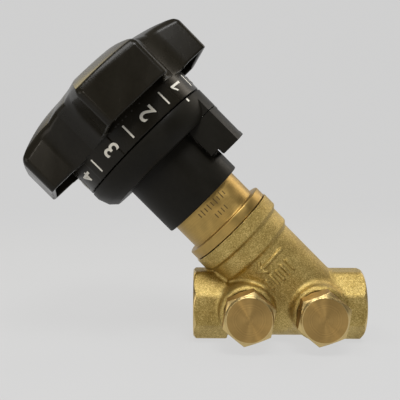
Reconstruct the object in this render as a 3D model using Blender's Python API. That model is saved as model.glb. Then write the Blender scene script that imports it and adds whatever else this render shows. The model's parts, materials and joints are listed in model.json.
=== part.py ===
"""Y-pattern balancing valve, DN15, with an inclined stem, a numbered handwheel and two test ports.

Lengths are in millimetres and angles in degrees until a mesh is made; MM turns them into metres.
The pipe runs along +X from the left port's end face, which holds the origin. The stem rises at 45
degrees, up and to the left, from STEM_FOOT on the pipe's axis. The test ports face -Y.
Along the stem, "height" is the distance from STEM_FOOT towards the handwheel.
"""

import math

import bmesh
import bpy
from mathutils import Matrix, Vector

MM = 0.001
GAP = 0.3
LARGE_STEPS = 40
RING_STEPS = 24
SMALL_STEPS = 16
HALF_STEP = 180.0 / RING_STEPS
ON_AXIS = 1e-6

# Pipe and end connections.
FACE_TO_FACE = 65.0
END_FLATS = 26.1
END_LENGTH = 13.0
END_FACE_RADIUS = 12.75
END_CHAMFER = 1.5
PIPE_RADIUS = 12.3
SOCKET_RADIUS = 9.3
SOCKET_DEPTH = 13.0
SOCKET_CHAMFER = 1.1
OUTLET_PASSAGE_RADIUS = 7.0
OUTLET_PASSAGE_END = 30.0
INLET_PASSAGE_RADIUS = 7.5
INLET_PASSAGE_END = 42.0

# Stem.
STEM_FOOT = 44.1
STEM_TILT = -45.0
BRANCH_RADIUS = 15.5
LOWER_COLLAR_RADIUS = 16.8
LOWER_COLLAR_HEIGHT = 29.6
UPPER_COLLAR_RADIUS = 18.1
UPPER_COLLAR_HEIGHT = 36.8
BODY_TOP = 42.0
COLLAR_CHAMFER = 0.6
BRANCH_FOOT_CHAMFER = 1.5
CHAMBER_RADIUS = 12.0
CHAMBER_FLOOR = 9.0
SEAT_RADIUS = 6.0
SEAT_LIP_RADIUS = 7.5
SEAT_LIP_TOP = 10.0
SEAT_CUT_START = -2.0

# Test ports.
TEST_PORTS = {"left": 20.0, "right": 46.5}
BOSS_RADIUS = 10.4
BOSS_FACE = 18.6
BOSS_ROUNDING = 1.6
BOSS_BORE_RADIUS = 6.6
BOSS_BORE_FLOOR = 9.6
TAPPING_RADIUS = 1.5
TAPPING_START = 4.0
SEAL_THICKNESS = 1.2
SEAL_RADIUS = 7.4
PLUG_COLLAR_BORE_RADIUS = 7.7
PLUG_COLLAR_RADIUS = 8.5
PLUG_FLATS = 17.4
PLUG_HEAD_HEIGHT = 7.6
PLUG_HEAD_CHAMFER = 0.8
SHANK_CLEARANCE = 2.0
SHANK_CHAMFER = 0.8
PLUG_TURN = 10.0

# Bonnet.
BONNET_SKIRT_RADIUS = 11.6
BONNET_SKIRT_BOTTOM = 26.0
BONNET_SKIRT_CHAMFER = 0.8
FLANGE_CHAMFER = 0.4
GUIDE_RADIUS = 9.1
FLANGE_RADIUS = 17.7
FLANGE_TOP = 46.1
BONNET_SLEEVE_RADIUS = 14.95
BONNET_SLEEVE_TOP = 61.0
BONNET_SHOULDER = 54.6
NECK_RADIUS = 9.0
NECK_TOP = 86.0
NECK_BORE_RADIUS = 5.0
O_RING_WIRE = 0.65
BONNET_RING_HEIGHT = 39.6
CLIP_HEIGHT = 58.9
CLIP_HALF_THICKNESS = 0.6
CLIP_DEPTH = 0.9
CLIP_STANDS_OUT = 0.15

# Indicator shroud and window.
SHROUD_SLEEVE_RADIUS = 17.4
SHROUD_BOTTOM = 57.1
DISH_BOTTOM = 78.7
DISH_FLOOR_RADIUS = 24.4
DISH_CONE_START_RADIUS = 26.9
DISH_CONE_START = 81.1
DISH_RADIUS = 28.4
DISH_CONE_END = 85.2
DISH_TOP = 88.0
DISH_WALL = 2.2
FLOOR_THICKNESS = 1.6
SLEEVE_BORE_RADIUS = 15.4
SLEEVE_CHAMFER = 0.6
WINDOW_HALF_WIDTH = 13.5
WINDOW_BOTTOM = 64.3
WINDOW_TOP = 79.2
WINDOW_INNER = 14.0
WINDOW_NOTCH_DEPTH = 2.6
WINDOW_NOTCH_INNER = 17.9
WINDOW_WALL = 1.8
PANE_HALF_WIDTH = 5.0
PANE_BOTTOM = 66.0
PANE_TOP = 78.0

# Turning group. The handwheel is one moulding: four hollow lobes around a graduated skirt.
WHEEL_LOBES = 4
LOBE_MIDDLE = 15.5
LOBE_REACH = 39.7
LOBE_HALF_WIDTH = 13.6
LOBE_CORNER_RADIUS = 2.2
LOBE_BOTTOM = 97.6
LOBE_WALL = 1.8
VALLEY_FLOOR = 28.7
VALLEY_HALF_ANGLE = 13.0
VALLEY_CORNER_RADIUS = 4.0
POCKET_ROOF = 108.5
POCKET_FLOOR_RADIUS = 29.0
DOME_TOP = 121.5
DOME_DROP = 8.4
DOME_DROP_RADIUS = 40.5
DOME_POWER = 2.5
DOME_FOLLOWS_RIM = 0.5
DOME_THICKNESS = 3.0
RIM_ROUNDING = 2.0
SKIRT_RADIUS = 28.4
SKIRT_BOTTOM = 88.4
SKIRT_WALL = 2.2
HUB_RADIUS = 10.8
HUB_BOTTOM = 92.4
HUB_WELL_RADIUS = 8.0
HUB_WELL_FLOOR = 105.0
CAP_SEAT_RADIUS = 11.6
CAP_SEAT = 119.0
CAP_TOP = 121.9
DRUM_RADIUS = 14.6
DRUM_BORE_RADIUS = 12.4
DRUM_BOTTOM = 63.5
DRUM_TOP = 105.7
SPINDLE_BOTTOM = 23.0
SPINDLE_THREAD_RADIUS = 3.75
COLLAR_BOTTOM = 50.6
COLLAR_TOP = 53.2
COLLAR_RADIUS = 7.0
SHAFT_RADIUS = 4.6
SHAFT_TOP = 92.0
DRIVE_SIDE = 6.0
DRIVE_TOP = 104.6
SPINDLE_TIP_RADIUS = 2.9
SPINDLE_TOP = 112.0
THREAD_CHAMFER = 0.6
O_RING_SQUEEZE = 0.15
CIRCLIP_DEPTH = 0.5
CIRCLIP_REACH = 2.0
WHEEL_WASHER_RADIUS = 6.5
WHEEL_WASHER_THICKNESS = 0.8
WHEEL_NUT_THICKNESS = 3.2
PRESET_SLOT_HALF_WIDTH = 0.25
PRESET_BORE_RADIUS = 1.8
O_RING_HEIGHTS = (64.0, 70.0)
CIRCLIP_HEIGHT = 87.5
CIRCLIP_THICKNESS = 1.0
NUT_FLATS = 10.0

# Disc group.
TURNS_OPEN_AT_REST = 1.1
LIFT_PER_TURN = 2.0
SEAL_CLOSED_HEIGHT = 10.15
DISC_SEAL_HEIGHT = SEAL_CLOSED_HEIGHT + TURNS_OPEN_AT_REST * LIFT_PER_TURN
DISC_SEAL_TOP = DISC_SEAL_HEIGHT + 2.0
STUD_RADIUS = 3.0
STUD_LENGTH = 4.4
DISC_WASHER_THICKNESS = 1.0
DISC_NUT_FLATS = 8.0
DISC_NUT_THICKNESS = 2.4
CARRIER_RADIUS = 8.8
CARRIER_LENGTH = 27.0
CARRIER_BORE_RADIUS = 4.05
GUIDE_PIN_HEIGHT = 35.0
GUIDE_PIN_SIDE = 2.0

# Turns slider.
SLIDER_PITCH = 2.5
SLIDER_CLOSED_HEIGHT = 67.5
SLIDER_HEIGHT = SLIDER_CLOSED_HEIGHT + TURNS_OPEN_AT_REST * SLIDER_PITCH
SLIDER_THICKNESS = 2.2
SLIDER_HALF_WIDTH = 7.0
SLIDER_HALF_HEIGHT = 1.0
SLIDER_ARM_WIDTH = 2.0
SLIDER_SLOT_BOTTOM = 65.2
SLIDER_SLOT_TOP = 79.4


def clear_scene():
    for old in list(bpy.data.objects):
        bpy.data.objects.remove(old, do_unlink=True)


def material(name, colour, roughness, metallic=0.0, alpha=1.0):
    made = bpy.data.materials.new(name)
    made.use_nodes = True
    shader = made.node_tree.nodes["Principled BSDF"]
    shader.inputs["Base Color"].default_value = (*colour, 1.0)
    shader.inputs["Roughness"].default_value = roughness
    shader.inputs["Metallic"].default_value = metallic
    shader.inputs["Alpha"].default_value = alpha
    return made


def empty(name, location=(0.0, 0.0, 0.0), turn=(0.0, 0.0, 0.0), parent=None):
    """An empty whose location is in millimetres and whose turn is in degrees."""
    made = bpy.data.objects.new(name, None)
    made.location = Vector(location) * MM
    made.rotation_euler = [math.radians(angle) for angle in turn]
    made.parent = parent
    bpy.context.collection.objects.link(made)
    return made


def solid(name, bm, look=None, parent=None):
    """Closes the bmesh into an object, scaled to metres. With no look it is a cutter or other helper."""
    bmesh.ops.remove_doubles(bm, verts=bm.verts, dist=ON_AXIS)
    bmesh.ops.recalc_face_normals(bm, faces=bm.faces)
    bmesh.ops.scale(bm, vec=(MM, MM, MM), verts=bm.verts)
    mesh = bpy.data.meshes.new(name)
    bm.to_mesh(mesh)
    bm.free()
    mesh.shade_smooth()
    mesh.set_sharp_from_angle(angle=math.radians(30.0))
    made = bpy.data.objects.new(name, mesh)
    made.parent = parent
    bpy.context.collection.objects.link(made)
    if look is None:
        made.hide_render = True
        made.display_type = "WIRE"
    else:
        mesh.materials.append(look)
    return made


def turned(profile, steps=LARGE_STEPS, start=0.0):
    """Spins a profile of (radius, height) points about Z. It closes itself, or on the axis."""
    bm = bmesh.new()
    cosine, sine = math.cos(math.radians(start)), math.sin(math.radians(start))
    points = [bm.verts.new((radius * cosine, radius * sine, height)) for radius, height in profile]
    edges = [bm.edges.new(pair) for pair in zip(points, points[1:])]
    if profile[0][0] > 0.0 or profile[-1][0] > 0.0:
        edges.append(bm.edges.new((points[-1], points[0])))
    bmesh.ops.spin(
        bm,
        geom=points + edges,
        cent=(0.0, 0.0, 0.0),
        axis=(0.0, 0.0, 1.0),
        angle=2.0 * math.pi,
        steps=steps,
        use_merge=True,
    )
    return bm


def prism(outline, low, high):
    """Extrudes a flat outline of (x, y) points from z = low to z = high."""
    bm = bmesh.new()
    face = bm.faces.new([bm.verts.new((x, y, low)) for x, y in outline])
    grown = bmesh.ops.extrude_face_region(bm, geom=[face])
    raised = [item for item in grown["geom"] if isinstance(item, bmesh.types.BMVert)]
    bmesh.ops.translate(bm, vec=(0.0, 0.0, high - low), verts=raised)
    return bm


def block(low, high):
    """A box between two corners."""
    outline = [(low[0], low[1]), (high[0], low[1]), (high[0], high[1]), (low[0], high[1])]
    return prism(outline, low[2], high[2])


def side_prism(outline, half_width):
    """Extrudes an outline of (x, z) points to both sides of the XZ plane."""
    bm = prism(outline, -half_width, half_width)
    bmesh.ops.rotate(bm, matrix=Matrix.Rotation(math.radians(90.0), 3, "X"), verts=bm.verts)
    return bm


def polygon(sides, flats, first_corner=0.0):
    """Corners of a regular polygon that measures `flats` across its flats."""
    radius = flats / 2.0 / math.cos(math.pi / sides)
    turns = [math.radians(first_corner + 360.0 * step / sides) for step in range(sides)]
    return [(radius * math.cos(turn), radius * math.sin(turn)) for turn in turns]


def boolean(target, tool, operation):
    added = target.modifiers.new(f"{operation.lower()} {tool.name}", "BOOLEAN")
    added.operation = operation
    added.solver = "EXACT"
    added.object = tool
    return target


def ring(inner, outer, low, high):
    """Profile of a plain washer or tube."""
    return [(inner, low), (outer, low), (outer, high), (inner, high)]


def rod(radius, low, high):
    """Profile of a plain solid rod."""
    return [(0.0, low), (radius, low), (radius, high), (0.0, high)]


def round_section(radius, height, wire, steps=6):
    """Profile of an O-ring's cross-section."""
    turns = [2.0 * math.pi * step / steps for step in range(steps)]
    return [(radius + wire * math.cos(turn), height + wire * math.sin(turn)) for turn in turns]


# --- Valve body -----------------------------------------------------------------------------------


def end_octagon(side, along_pipe):
    """One eight-sided pipe end, its outer edge turned to a cone."""
    low, high = (0.0, END_LENGTH) if side == "left" else (FACE_TO_FACE - END_LENGTH, FACE_TO_FACE)
    outline = polygon(8, END_FLATS, 22.5)
    octagon = solid(f"{side}_octagon", prism(outline, low, high), None, along_pipe)
    wide = END_FACE_RADIUS + END_CHAMFER
    narrow = END_FACE_RADIUS - 1.0
    profile = [
        (0.0, -1.0),
        (narrow, -1.0),
        (wide, END_CHAMFER),
        (wide, FACE_TO_FACE - END_CHAMFER),
        (narrow, FACE_TO_FACE + 1.0),
        (0.0, FACE_TO_FACE + 1.0),
    ]
    chamfer = solid(f"{side}_octagon_chamfer", turned(profile), None, along_pipe)
    return boolean(octagon, chamfer, "INTERSECT")


def socket_profile(passage_radius, passage_end):
    """A threaded socket and the passage behind it, from the end face inwards."""
    return [
        (0.0, -1.0),
        (SOCKET_RADIUS + SOCKET_CHAMFER + 1.0, -1.0),
        (SOCKET_RADIUS, SOCKET_CHAMFER),
        (SOCKET_RADIUS, SOCKET_DEPTH),
        (passage_radius, SOCKET_DEPTH + 1.0),
        (passage_radius, passage_end),
        (0.0, passage_end),
    ]


def boss_profile():
    """A round cast boss with a rounded outer edge and a flat machined face."""
    arc_centre = (BOSS_RADIUS - BOSS_ROUNDING, BOSS_FACE - BOSS_ROUNDING)
    arc = []
    for step in range(4):
        turn = math.radians(30.0 * step)
        across = arc_centre[0] + BOSS_ROUNDING * math.cos(turn)
        arc.append((across, arc_centre[1] + BOSS_ROUNDING * math.sin(turn)))
    return [(0.0, 0.0), (BOSS_RADIUS, 0.0), *arc, (0.0, BOSS_FACE)]


def valve_body(look, along_pipe, stem, ports):
    middle = rod(PIPE_RADIUS, END_LENGTH / 2.0, FACE_TO_FACE - END_LENGTH / 2.0)
    body = solid("valve_body", turned(middle), look, along_pipe)
    for side in ("left", "right"):
        boolean(body, end_octagon(side, along_pipe), "UNION")

    branch = [
        (0.0, 0.0),
        (BRANCH_RADIUS - BRANCH_FOOT_CHAMFER, 0.0),
        (BRANCH_RADIUS, BRANCH_FOOT_CHAMFER),
        (BRANCH_RADIUS, LOWER_COLLAR_HEIGHT - 1.0),
        (LOWER_COLLAR_RADIUS, LOWER_COLLAR_HEIGHT),
        (LOWER_COLLAR_RADIUS, UPPER_COLLAR_HEIGHT - COLLAR_CHAMFER),
        (UPPER_COLLAR_RADIUS - COLLAR_CHAMFER, UPPER_COLLAR_HEIGHT - COLLAR_CHAMFER),
        (UPPER_COLLAR_RADIUS, UPPER_COLLAR_HEIGHT),
        (UPPER_COLLAR_RADIUS, BODY_TOP),
        (0.0, BODY_TOP),
    ]
    boolean(body, solid("branch", turned(branch), None, stem), "UNION")

    for side, port in ports.items():
        boolean(body, solid(f"{side}_boss", turned(boss_profile(), RING_STEPS), None, port), "UNION")

    tapped_bore = [
        (0.0, TAPPING_START),
        (TAPPING_RADIUS, TAPPING_START),
        (TAPPING_RADIUS, BOSS_BORE_FLOOR),
        (BOSS_BORE_RADIUS, BOSS_BORE_FLOOR),
        (BOSS_BORE_RADIUS, BOSS_FACE + 1.0),
        (0.0, BOSS_FACE + 1.0),
    ]
    for side, port in ports.items():
        bore = solid(f"{side}_boss_bore", turned(tapped_bore, SMALL_STEPS), None, port)
        boolean(body, bore, "DIFFERENCE")
    outlet = turned(socket_profile(OUTLET_PASSAGE_RADIUS, OUTLET_PASSAGE_END), RING_STEPS, HALF_STEP)
    boolean(body, solid("outlet_cut", outlet, None, along_pipe), "DIFFERENCE")
    inlet = [
        (radius, FACE_TO_FACE - depth)
        for radius, depth in socket_profile(INLET_PASSAGE_RADIUS, FACE_TO_FACE - INLET_PASSAGE_END)
    ]
    inlet_cut = solid("inlet_cut", turned(inlet, RING_STEPS, HALF_STEP), None, along_pipe)
    boolean(body, inlet_cut, "DIFFERENCE")
    chamber = [
        (0.0, SEAT_CUT_START),
        (SEAT_RADIUS, SEAT_CUT_START),
        (SEAT_RADIUS, SEAT_LIP_TOP),
        (SEAT_LIP_RADIUS, SEAT_LIP_TOP),
        (SEAT_LIP_RADIUS, CHAMBER_FLOOR),
        (CHAMBER_RADIUS, CHAMBER_FLOOR),
        (CHAMBER_RADIUS, BODY_TOP + 1.0),
        (0.0, BODY_TOP + 1.0),
    ]
    boolean(body, solid("chamber_cut", turned(chamber, RING_STEPS), None, stem), "DIFFERENCE")


def test_port_plug(side, look, port):
    """A hexagon-headed plug with a collar round its seal. Its shank stops short of the tapping."""
    head_bottom = BOSS_FACE + GAP + SEAL_THICKNESS + GAP
    head_top = head_bottom + PLUG_HEAD_HEIGHT
    shank_radius = BOSS_BORE_RADIUS - GAP
    head = prism(polygon(6, PLUG_FLATS, 90.0 - PLUG_TURN), head_bottom, head_top)
    plug = solid(f"{side}_port_plug", head, look, port)
    corner = PLUG_FLATS / 2.0 / math.cos(math.pi / 6.0)
    face = PLUG_FLATS / 2.0
    crown = [
        (0.0, head_bottom - 1.0),
        (corner + 1.0, head_bottom - 1.0),
        (corner + 1.0, head_top - PLUG_HEAD_CHAMFER - (corner + 1.0 - face) * 0.5),
        (face, head_top - PLUG_HEAD_CHAMFER),
        (face - PLUG_HEAD_CHAMFER, head_top),
        (0.0, head_top),
    ]
    boolean(plug, solid(f"{side}_plug_crown", turned(crown), None, port), "INTERSECT")
    shank_bottom = BOSS_BORE_FLOOR + SHANK_CLEARANCE
    shank = [
        (0.0, shank_bottom),
        (shank_radius - SHANK_CHAMFER, shank_bottom),
        (shank_radius, shank_bottom + SHANK_CHAMFER),
        (shank_radius, head_bottom + 1.0),
        (0.0, head_bottom + 1.0),
    ]
    boolean(plug, solid(f"{side}_plug_shank", turned(shank, SMALL_STEPS), None, port), "UNION")
    collar = ring(PLUG_COLLAR_BORE_RADIUS, PLUG_COLLAR_RADIUS, BOSS_FACE + GAP, head_bottom + 1.0)
    boolean(plug, solid(f"{side}_plug_collar", turned(collar, RING_STEPS), None, port), "UNION")


def test_port_seal(side, look, port):
    low = BOSS_FACE + GAP
    profile = ring(BOSS_BORE_RADIUS, SEAL_RADIUS, low, low + SEAL_THICKNESS)
    solid(f"{side}_port_seal", turned(profile, SMALL_STEPS), look, port)


# --- Bonnet, shroud and window --------------------------------------------------------------------


def bonnet(look, stem):
    groove = O_RING_WIRE + GAP
    groove_floor = CHAMBER_RADIUS - 2.0 * O_RING_WIRE - 2.0 * GAP
    flange_bottom = BODY_TOP + GAP
    clip_floor = BONNET_SLEEVE_RADIUS - CLIP_DEPTH - GAP
    clip_half = CLIP_HALF_THICKNESS + GAP
    profile = [
        (GUIDE_RADIUS, BONNET_SKIRT_BOTTOM),
        (BONNET_SKIRT_RADIUS - BONNET_SKIRT_CHAMFER, BONNET_SKIRT_BOTTOM),
        (BONNET_SKIRT_RADIUS, BONNET_SKIRT_BOTTOM + BONNET_SKIRT_CHAMFER),
        (BONNET_SKIRT_RADIUS, BONNET_RING_HEIGHT - groove),
        (groove_floor, BONNET_RING_HEIGHT - groove),
        (groove_floor, BONNET_RING_HEIGHT + groove),
        (BONNET_SKIRT_RADIUS, BONNET_RING_HEIGHT + groove),
        (BONNET_SKIRT_RADIUS, flange_bottom),
        (FLANGE_RADIUS, flange_bottom),
        (FLANGE_RADIUS, FLANGE_TOP - FLANGE_CHAMFER),
        (FLANGE_RADIUS - FLANGE_CHAMFER, FLANGE_TOP),
        (BONNET_SLEEVE_RADIUS, FLANGE_TOP),
        (BONNET_SLEEVE_RADIUS, CLIP_HEIGHT - clip_half),
        (clip_floor, CLIP_HEIGHT - clip_half),
        (clip_floor, CLIP_HEIGHT + clip_half),
        (BONNET_SLEEVE_RADIUS, CLIP_HEIGHT + clip_half),
        (BONNET_SLEEVE_RADIUS, BONNET_SLEEVE_TOP),
        (NECK_RADIUS, BONNET_SLEEVE_TOP),
        (NECK_RADIUS, NECK_TOP),
        (NECK_BORE_RADIUS, NECK_TOP),
        (NECK_BORE_RADIUS, BONNET_SHOULDER),
        (GUIDE_RADIUS, BONNET_SHOULDER),
    ]
    made = solid("bonnet", turned(profile), look, stem)
    half = GUIDE_PIN_SIDE / 2.0 + GAP
    pin_hole = block(
        (-CHAMBER_RADIUS - 1.0, -half, GUIDE_PIN_HEIGHT - half),
        (-GUIDE_RADIUS + 1.0, half, GUIDE_PIN_HEIGHT + half),
    )
    return boolean(made, solid("pin_hole", pin_hole, None, stem), "DIFFERENCE")


def guide_pin(look, stem):
    """The pin in the bonnet's skirt that keeps the disc carrier from turning."""
    half = GUIDE_PIN_SIDE / 2.0
    pin = block(
        (-BONNET_SKIRT_RADIUS + 0.2, -half, GUIDE_PIN_HEIGHT - half),
        (-CARRIER_RADIUS + 1.2, half, GUIDE_PIN_HEIGHT + half),
    )
    solid("guide_pin", pin, look, stem)


def bonnet_o_ring(look, stem):
    radius = CHAMBER_RADIUS - GAP - O_RING_WIRE
    solid("bonnet_o_ring", turned(round_section(radius, BONNET_RING_HEIGHT, O_RING_WIRE)), look, stem)


def shroud_clip(look, stem):
    """The snap ring in the bonnet's groove that holds the shroud."""
    inner = BONNET_SLEEVE_RADIUS - CLIP_DEPTH
    outer = BONNET_SLEEVE_RADIUS + CLIP_STANDS_OUT
    profile = ring(inner, outer, CLIP_HEIGHT - CLIP_HALF_THICKNESS, CLIP_HEIGHT + CLIP_HALF_THICKNESS)
    solid("shroud_clip", turned(profile), look, stem)


def window_shape(grow):
    """The window housing's outer block, grown by a clearance on the sides that face the shroud."""
    inner = WINDOW_INNER - grow
    top = WINDOW_TOP + grow
    notch_top = WINDOW_BOTTOM + WINDOW_NOTCH_DEPTH
    outline = [
        (WINDOW_NOTCH_INNER, WINDOW_BOTTOM),
        (DISH_RADIUS + 2.0, WINDOW_BOTTOM),
        (DISH_RADIUS + 2.0, top),
        (inner, top),
        (inner, notch_top),
        (WINDOW_NOTCH_INNER, notch_top),
    ]
    return side_prism(outline, WINDOW_HALF_WIDTH + grow)


def indicator_shroud(look, stem):
    """The sleeve and dish in one moulding, coned below the rim except over the window."""
    dish_bore = DISH_RADIUS - DISH_WALL
    inner_floor = WINDOW_TOP + GAP + FLOOR_THICKNESS
    profile = [
        (SLEEVE_BORE_RADIUS, SHROUD_BOTTOM),
        (SHROUD_SLEEVE_RADIUS - SLEEVE_CHAMFER, SHROUD_BOTTOM),
        (SHROUD_SLEEVE_RADIUS, SHROUD_BOTTOM + SLEEVE_CHAMFER),
        (SHROUD_SLEEVE_RADIUS, DISH_BOTTOM),
        (DISH_RADIUS, DISH_BOTTOM),
        (DISH_RADIUS, DISH_TOP),
        (dish_bore, DISH_TOP),
        (dish_bore, DISH_CONE_END),
        (dish_bore - FLOOR_THICKNESS, inner_floor),
        (SLEEVE_BORE_RADIUS, inner_floor),
    ]
    shroud = solid("indicator_shroud", turned(profile), look, stem)

    upper_slope = (DISH_RADIUS - DISH_CONE_START_RADIUS) / (DISH_CONE_END - DISH_CONE_START)
    lower_slope = (DISH_CONE_START_RADIUS - DISH_FLOOR_RADIUS) / (DISH_CONE_START - DISH_BOTTOM)
    margin = 2.0
    cone = [
        (DISH_FLOOR_RADIUS - margin * lower_slope, DISH_BOTTOM - margin),
        (DISH_RADIUS + margin, DISH_BOTTOM - margin),
        (DISH_RADIUS + margin, DISH_CONE_END + margin),
        (DISH_RADIUS + margin * upper_slope, DISH_CONE_END + margin),
        (DISH_CONE_START_RADIUS, DISH_CONE_START),
    ]
    cone_cut = solid("cone_cut", turned(cone), None, stem)
    visor_low = (0.0, -WINDOW_HALF_WIDTH, WINDOW_TOP)
    visor = solid("visor", block(visor_low, (DISH_RADIUS + 5.0, WINDOW_HALF_WIDTH, DISH_TOP)), None, stem)
    boolean(cone_cut, visor, "DIFFERENCE")
    boolean(shroud, cone_cut, "DIFFERENCE")

    pocket = solid("window_pocket", window_shape(GAP), None, stem)
    keep = rod(SHROUD_SLEEVE_RADIUS + 0.1, SHROUD_BOTTOM, DISH_TOP)
    boolean(pocket, solid("sleeve_keep", turned(keep), None, stem), "DIFFERENCE")
    boolean(shroud, pocket, "DIFFERENCE")
    half = SLIDER_ARM_WIDTH / 2.0 + GAP
    slot_outer = (SHROUD_SLEEVE_RADIUS + 2.0, half, SLIDER_SLOT_TOP)
    slot = block((NECK_RADIUS, -half, SLIDER_SLOT_BOTTOM), slot_outer)
    boolean(shroud, solid("slider_slot", slot, None, stem), "DIFFERENCE")


def window_housing(look, stem):
    housing = solid("window_housing", window_shape(0.0), look, stem)
    limit = rod(DISH_RADIUS, SHROUD_BOTTOM, DISH_TOP)
    boolean(housing, solid("housing_limit", turned(limit), None, stem), "INTERSECT")
    around_sleeve = rod(SHROUD_SLEEVE_RADIUS + GAP, SHROUD_BOTTOM, DISH_TOP)
    boolean(housing, solid("around_sleeve", turned(around_sleeve), None, stem), "DIFFERENCE")
    half = WINDOW_HALF_WIDTH - WINDOW_WALL
    room = block((0.0, -half, WINDOW_BOTTOM + WINDOW_WALL), (DISH_RADIUS, half, DISH_TOP))
    room_cut = solid("window_room", room, None, stem)
    room_limit = rod(DISH_RADIUS - WINDOW_WALL, SHROUD_BOTTOM, DISH_TOP + 1.0)
    boolean(room_cut, solid("room_limit", turned(room_limit), None, stem), "INTERSECT")
    boolean(housing, room_cut, "DIFFERENCE")
    hole_low = (SHROUD_SLEEVE_RADIUS + 3.0, -PANE_HALF_WIDTH, PANE_BOTTOM)
    pane_hole = block(hole_low, (DISH_RADIUS + 2.0, PANE_HALF_WIDTH, PANE_TOP))
    boolean(housing, solid("pane_hole", pane_hole, None, stem), "DIFFERENCE")


def arc_plate(name, inner, outer, half_width, low, high, look, stem):
    """A plate curved about the stem, as wide as its two flat ends are apart."""
    half_turn = math.asin(half_width / outer)
    steps = 6
    turns = [half_turn * (2.0 * step / steps - 1.0) for step in range(steps + 1)]
    outline = [(outer * math.cos(turn), outer * math.sin(turn)) for turn in turns]
    outline += [(inner * math.cos(turn), inner * math.sin(turn)) for turn in reversed(turns)]
    return solid(name, prism(outline, low, high), look, stem)


def window_pane(look, stem):
    arc_plate(
        "window_pane",
        DISH_RADIUS - WINDOW_WALL + 0.2,
        DISH_RADIUS - 0.3,
        PANE_HALF_WIDTH - GAP,
        PANE_BOTTOM + GAP,
        PANE_TOP - GAP,
        look,
        stem,
    )


def turns_slider(look, slide):
    """The plate that shows the whole turns, with the arm that reaches the drum's groove."""
    inside = DISH_RADIUS - WINDOW_WALL
    inner = inside - SLIDER_THICKNESS
    outer = inside - 0.4
    low = SLIDER_HEIGHT - SLIDER_HALF_HEIGHT
    high = SLIDER_HEIGHT + SLIDER_HALF_HEIGHT
    slider = arc_plate("turns_slider", inner, outer, SLIDER_HALF_WIDTH, low, high, look, slide)
    half = SLIDER_ARM_WIDTH / 2.0
    arm = block((DRUM_RADIUS + GAP, -half, SLIDER_HEIGHT - half), (inner + 1.0, half, SLIDER_HEIGHT + half))
    boolean(slider, solid("slider_arm", arm, None, slide), "UNION")


# --- Turning group --------------------------------------------------------------------------------


def inset_corners(corners, inset):
    """Moves each side of an anticlockwise outline inwards, and gives its new corners."""
    moved = []
    for index, here in enumerate(corners):
        arriving = (here - corners[index - 1]).normalized()
        leaving = (corners[(index + 1) % len(corners)] - here).normalized()
        inward = Vector((-arriving.y, arriving.x))
        bisector = (inward + Vector((-leaving.y, leaving.x))).normalized()
        moved.append(here + bisector * (inset / bisector.dot(inward)))
    return moved


def rounded_outline(corners, radii, steps):
    """Replaces each corner of an anticlockwise outline by an arc of its own radius."""
    outline = []
    for index, here in enumerate(corners):
        back = (corners[index - 1] - here).normalized()
        on = (corners[(index + 1) % len(corners)] - here).normalized()
        half = back.angle(on) / 2.0
        centre = here + (back + on).normalized() * (radii[index] / math.sin(half))
        start = here + back * (radii[index] / math.tan(half)) - centre
        sweep = math.copysign(math.pi - 2.0 * half, back.cross(on))
        for step in range(steps + 1):
            outline.append(centre + Matrix.Rotation(-sweep * step / steps, 2) @ start)
    return outline


def wheel_outline(inset, steps=3):
    """The lobed outline in plan, moved inwards by a wall thickness or a rounding."""
    valley_reach = VALLEY_FLOOR / math.cos(math.radians(VALLEY_HALF_ANGLE))
    valley_turn = 180.0 / WHEEL_LOBES - VALLEY_HALF_ANGLE
    valley_start = Matrix.Rotation(math.radians(valley_turn), 2) @ Vector((valley_reach, 0.0))
    valley_end = Vector((valley_start.x, -valley_start.y))
    lobe = [
        valley_end,
        Vector((LOBE_REACH, -LOBE_HALF_WIDTH)),
        Vector((LOBE_REACH, LOBE_HALF_WIDTH)),
        valley_start,
    ]
    corners = []
    for number in range(WHEEL_LOBES):
        turn = Matrix.Rotation(math.radians(LOBE_MIDDLE - 90.0 + 360.0 * number / WHEEL_LOBES), 2)
        corners += [turn @ corner for corner in lobe]
    outer = max(LOBE_CORNER_RADIUS - inset, 0.4)
    inner = VALLEY_CORNER_RADIUS + inset
    return rounded_outline(inset_corners(corners, inset), [inner, outer, outer, inner] * WHEEL_LOBES, steps)


def dome_height(radius, rim_radius=DOME_DROP_RADIUS):
    """Height of the domed top at a distance from the stem, where the rim is at rim_radius."""
    even_share = radius / DOME_DROP_RADIUS
    lobed_share = radius / rim_radius
    share = even_share + DOME_FOLLOWS_RIM * (lobed_share - even_share)
    return DOME_TOP - DOME_DROP * share**DOME_POWER


def wheel_block(look, turning):
    """The lobed block with its rounded rim and domed top."""
    rim = wheel_outline(0.0)
    part_way = wheel_outline(0.3 * RIM_ROUNDING)
    edge = wheel_outline(RIM_ROUNDING)
    rim_heights = [dome_height(point.length, point.length) for point in rim]
    rows = [
        [(*point, LOBE_BOTTOM) for point in rim],
        [(*point, height - RIM_ROUNDING) for point, height in zip(rim, rim_heights)],
        [(*point, height - 0.3 * RIM_ROUNDING) for point, height in zip(part_way, rim_heights)],
    ]
    for share in (1.0, 0.8, 0.6):
        rows.append([(*(point * share), dome_height(point.length * share, point.length)) for point in edge])
    rows.append([(*(point.normalized() * CAP_SEAT_RADIUS), dome_height(CAP_SEAT_RADIUS)) for point in edge])
    bm = bmesh.new()
    loops = [[bm.verts.new(point) for point in row] for row in rows]
    for lower, upper in zip(loops, loops[1:]):
        for index in range(len(lower)):
            after = (index + 1) % len(lower)
            bm.faces.new((lower[index], lower[after], upper[after], upper[index]))
    bm.faces.new(loops[0])
    bm.faces.new(loops[-1])
    return solid("handwheel", bm, look, turning)


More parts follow.
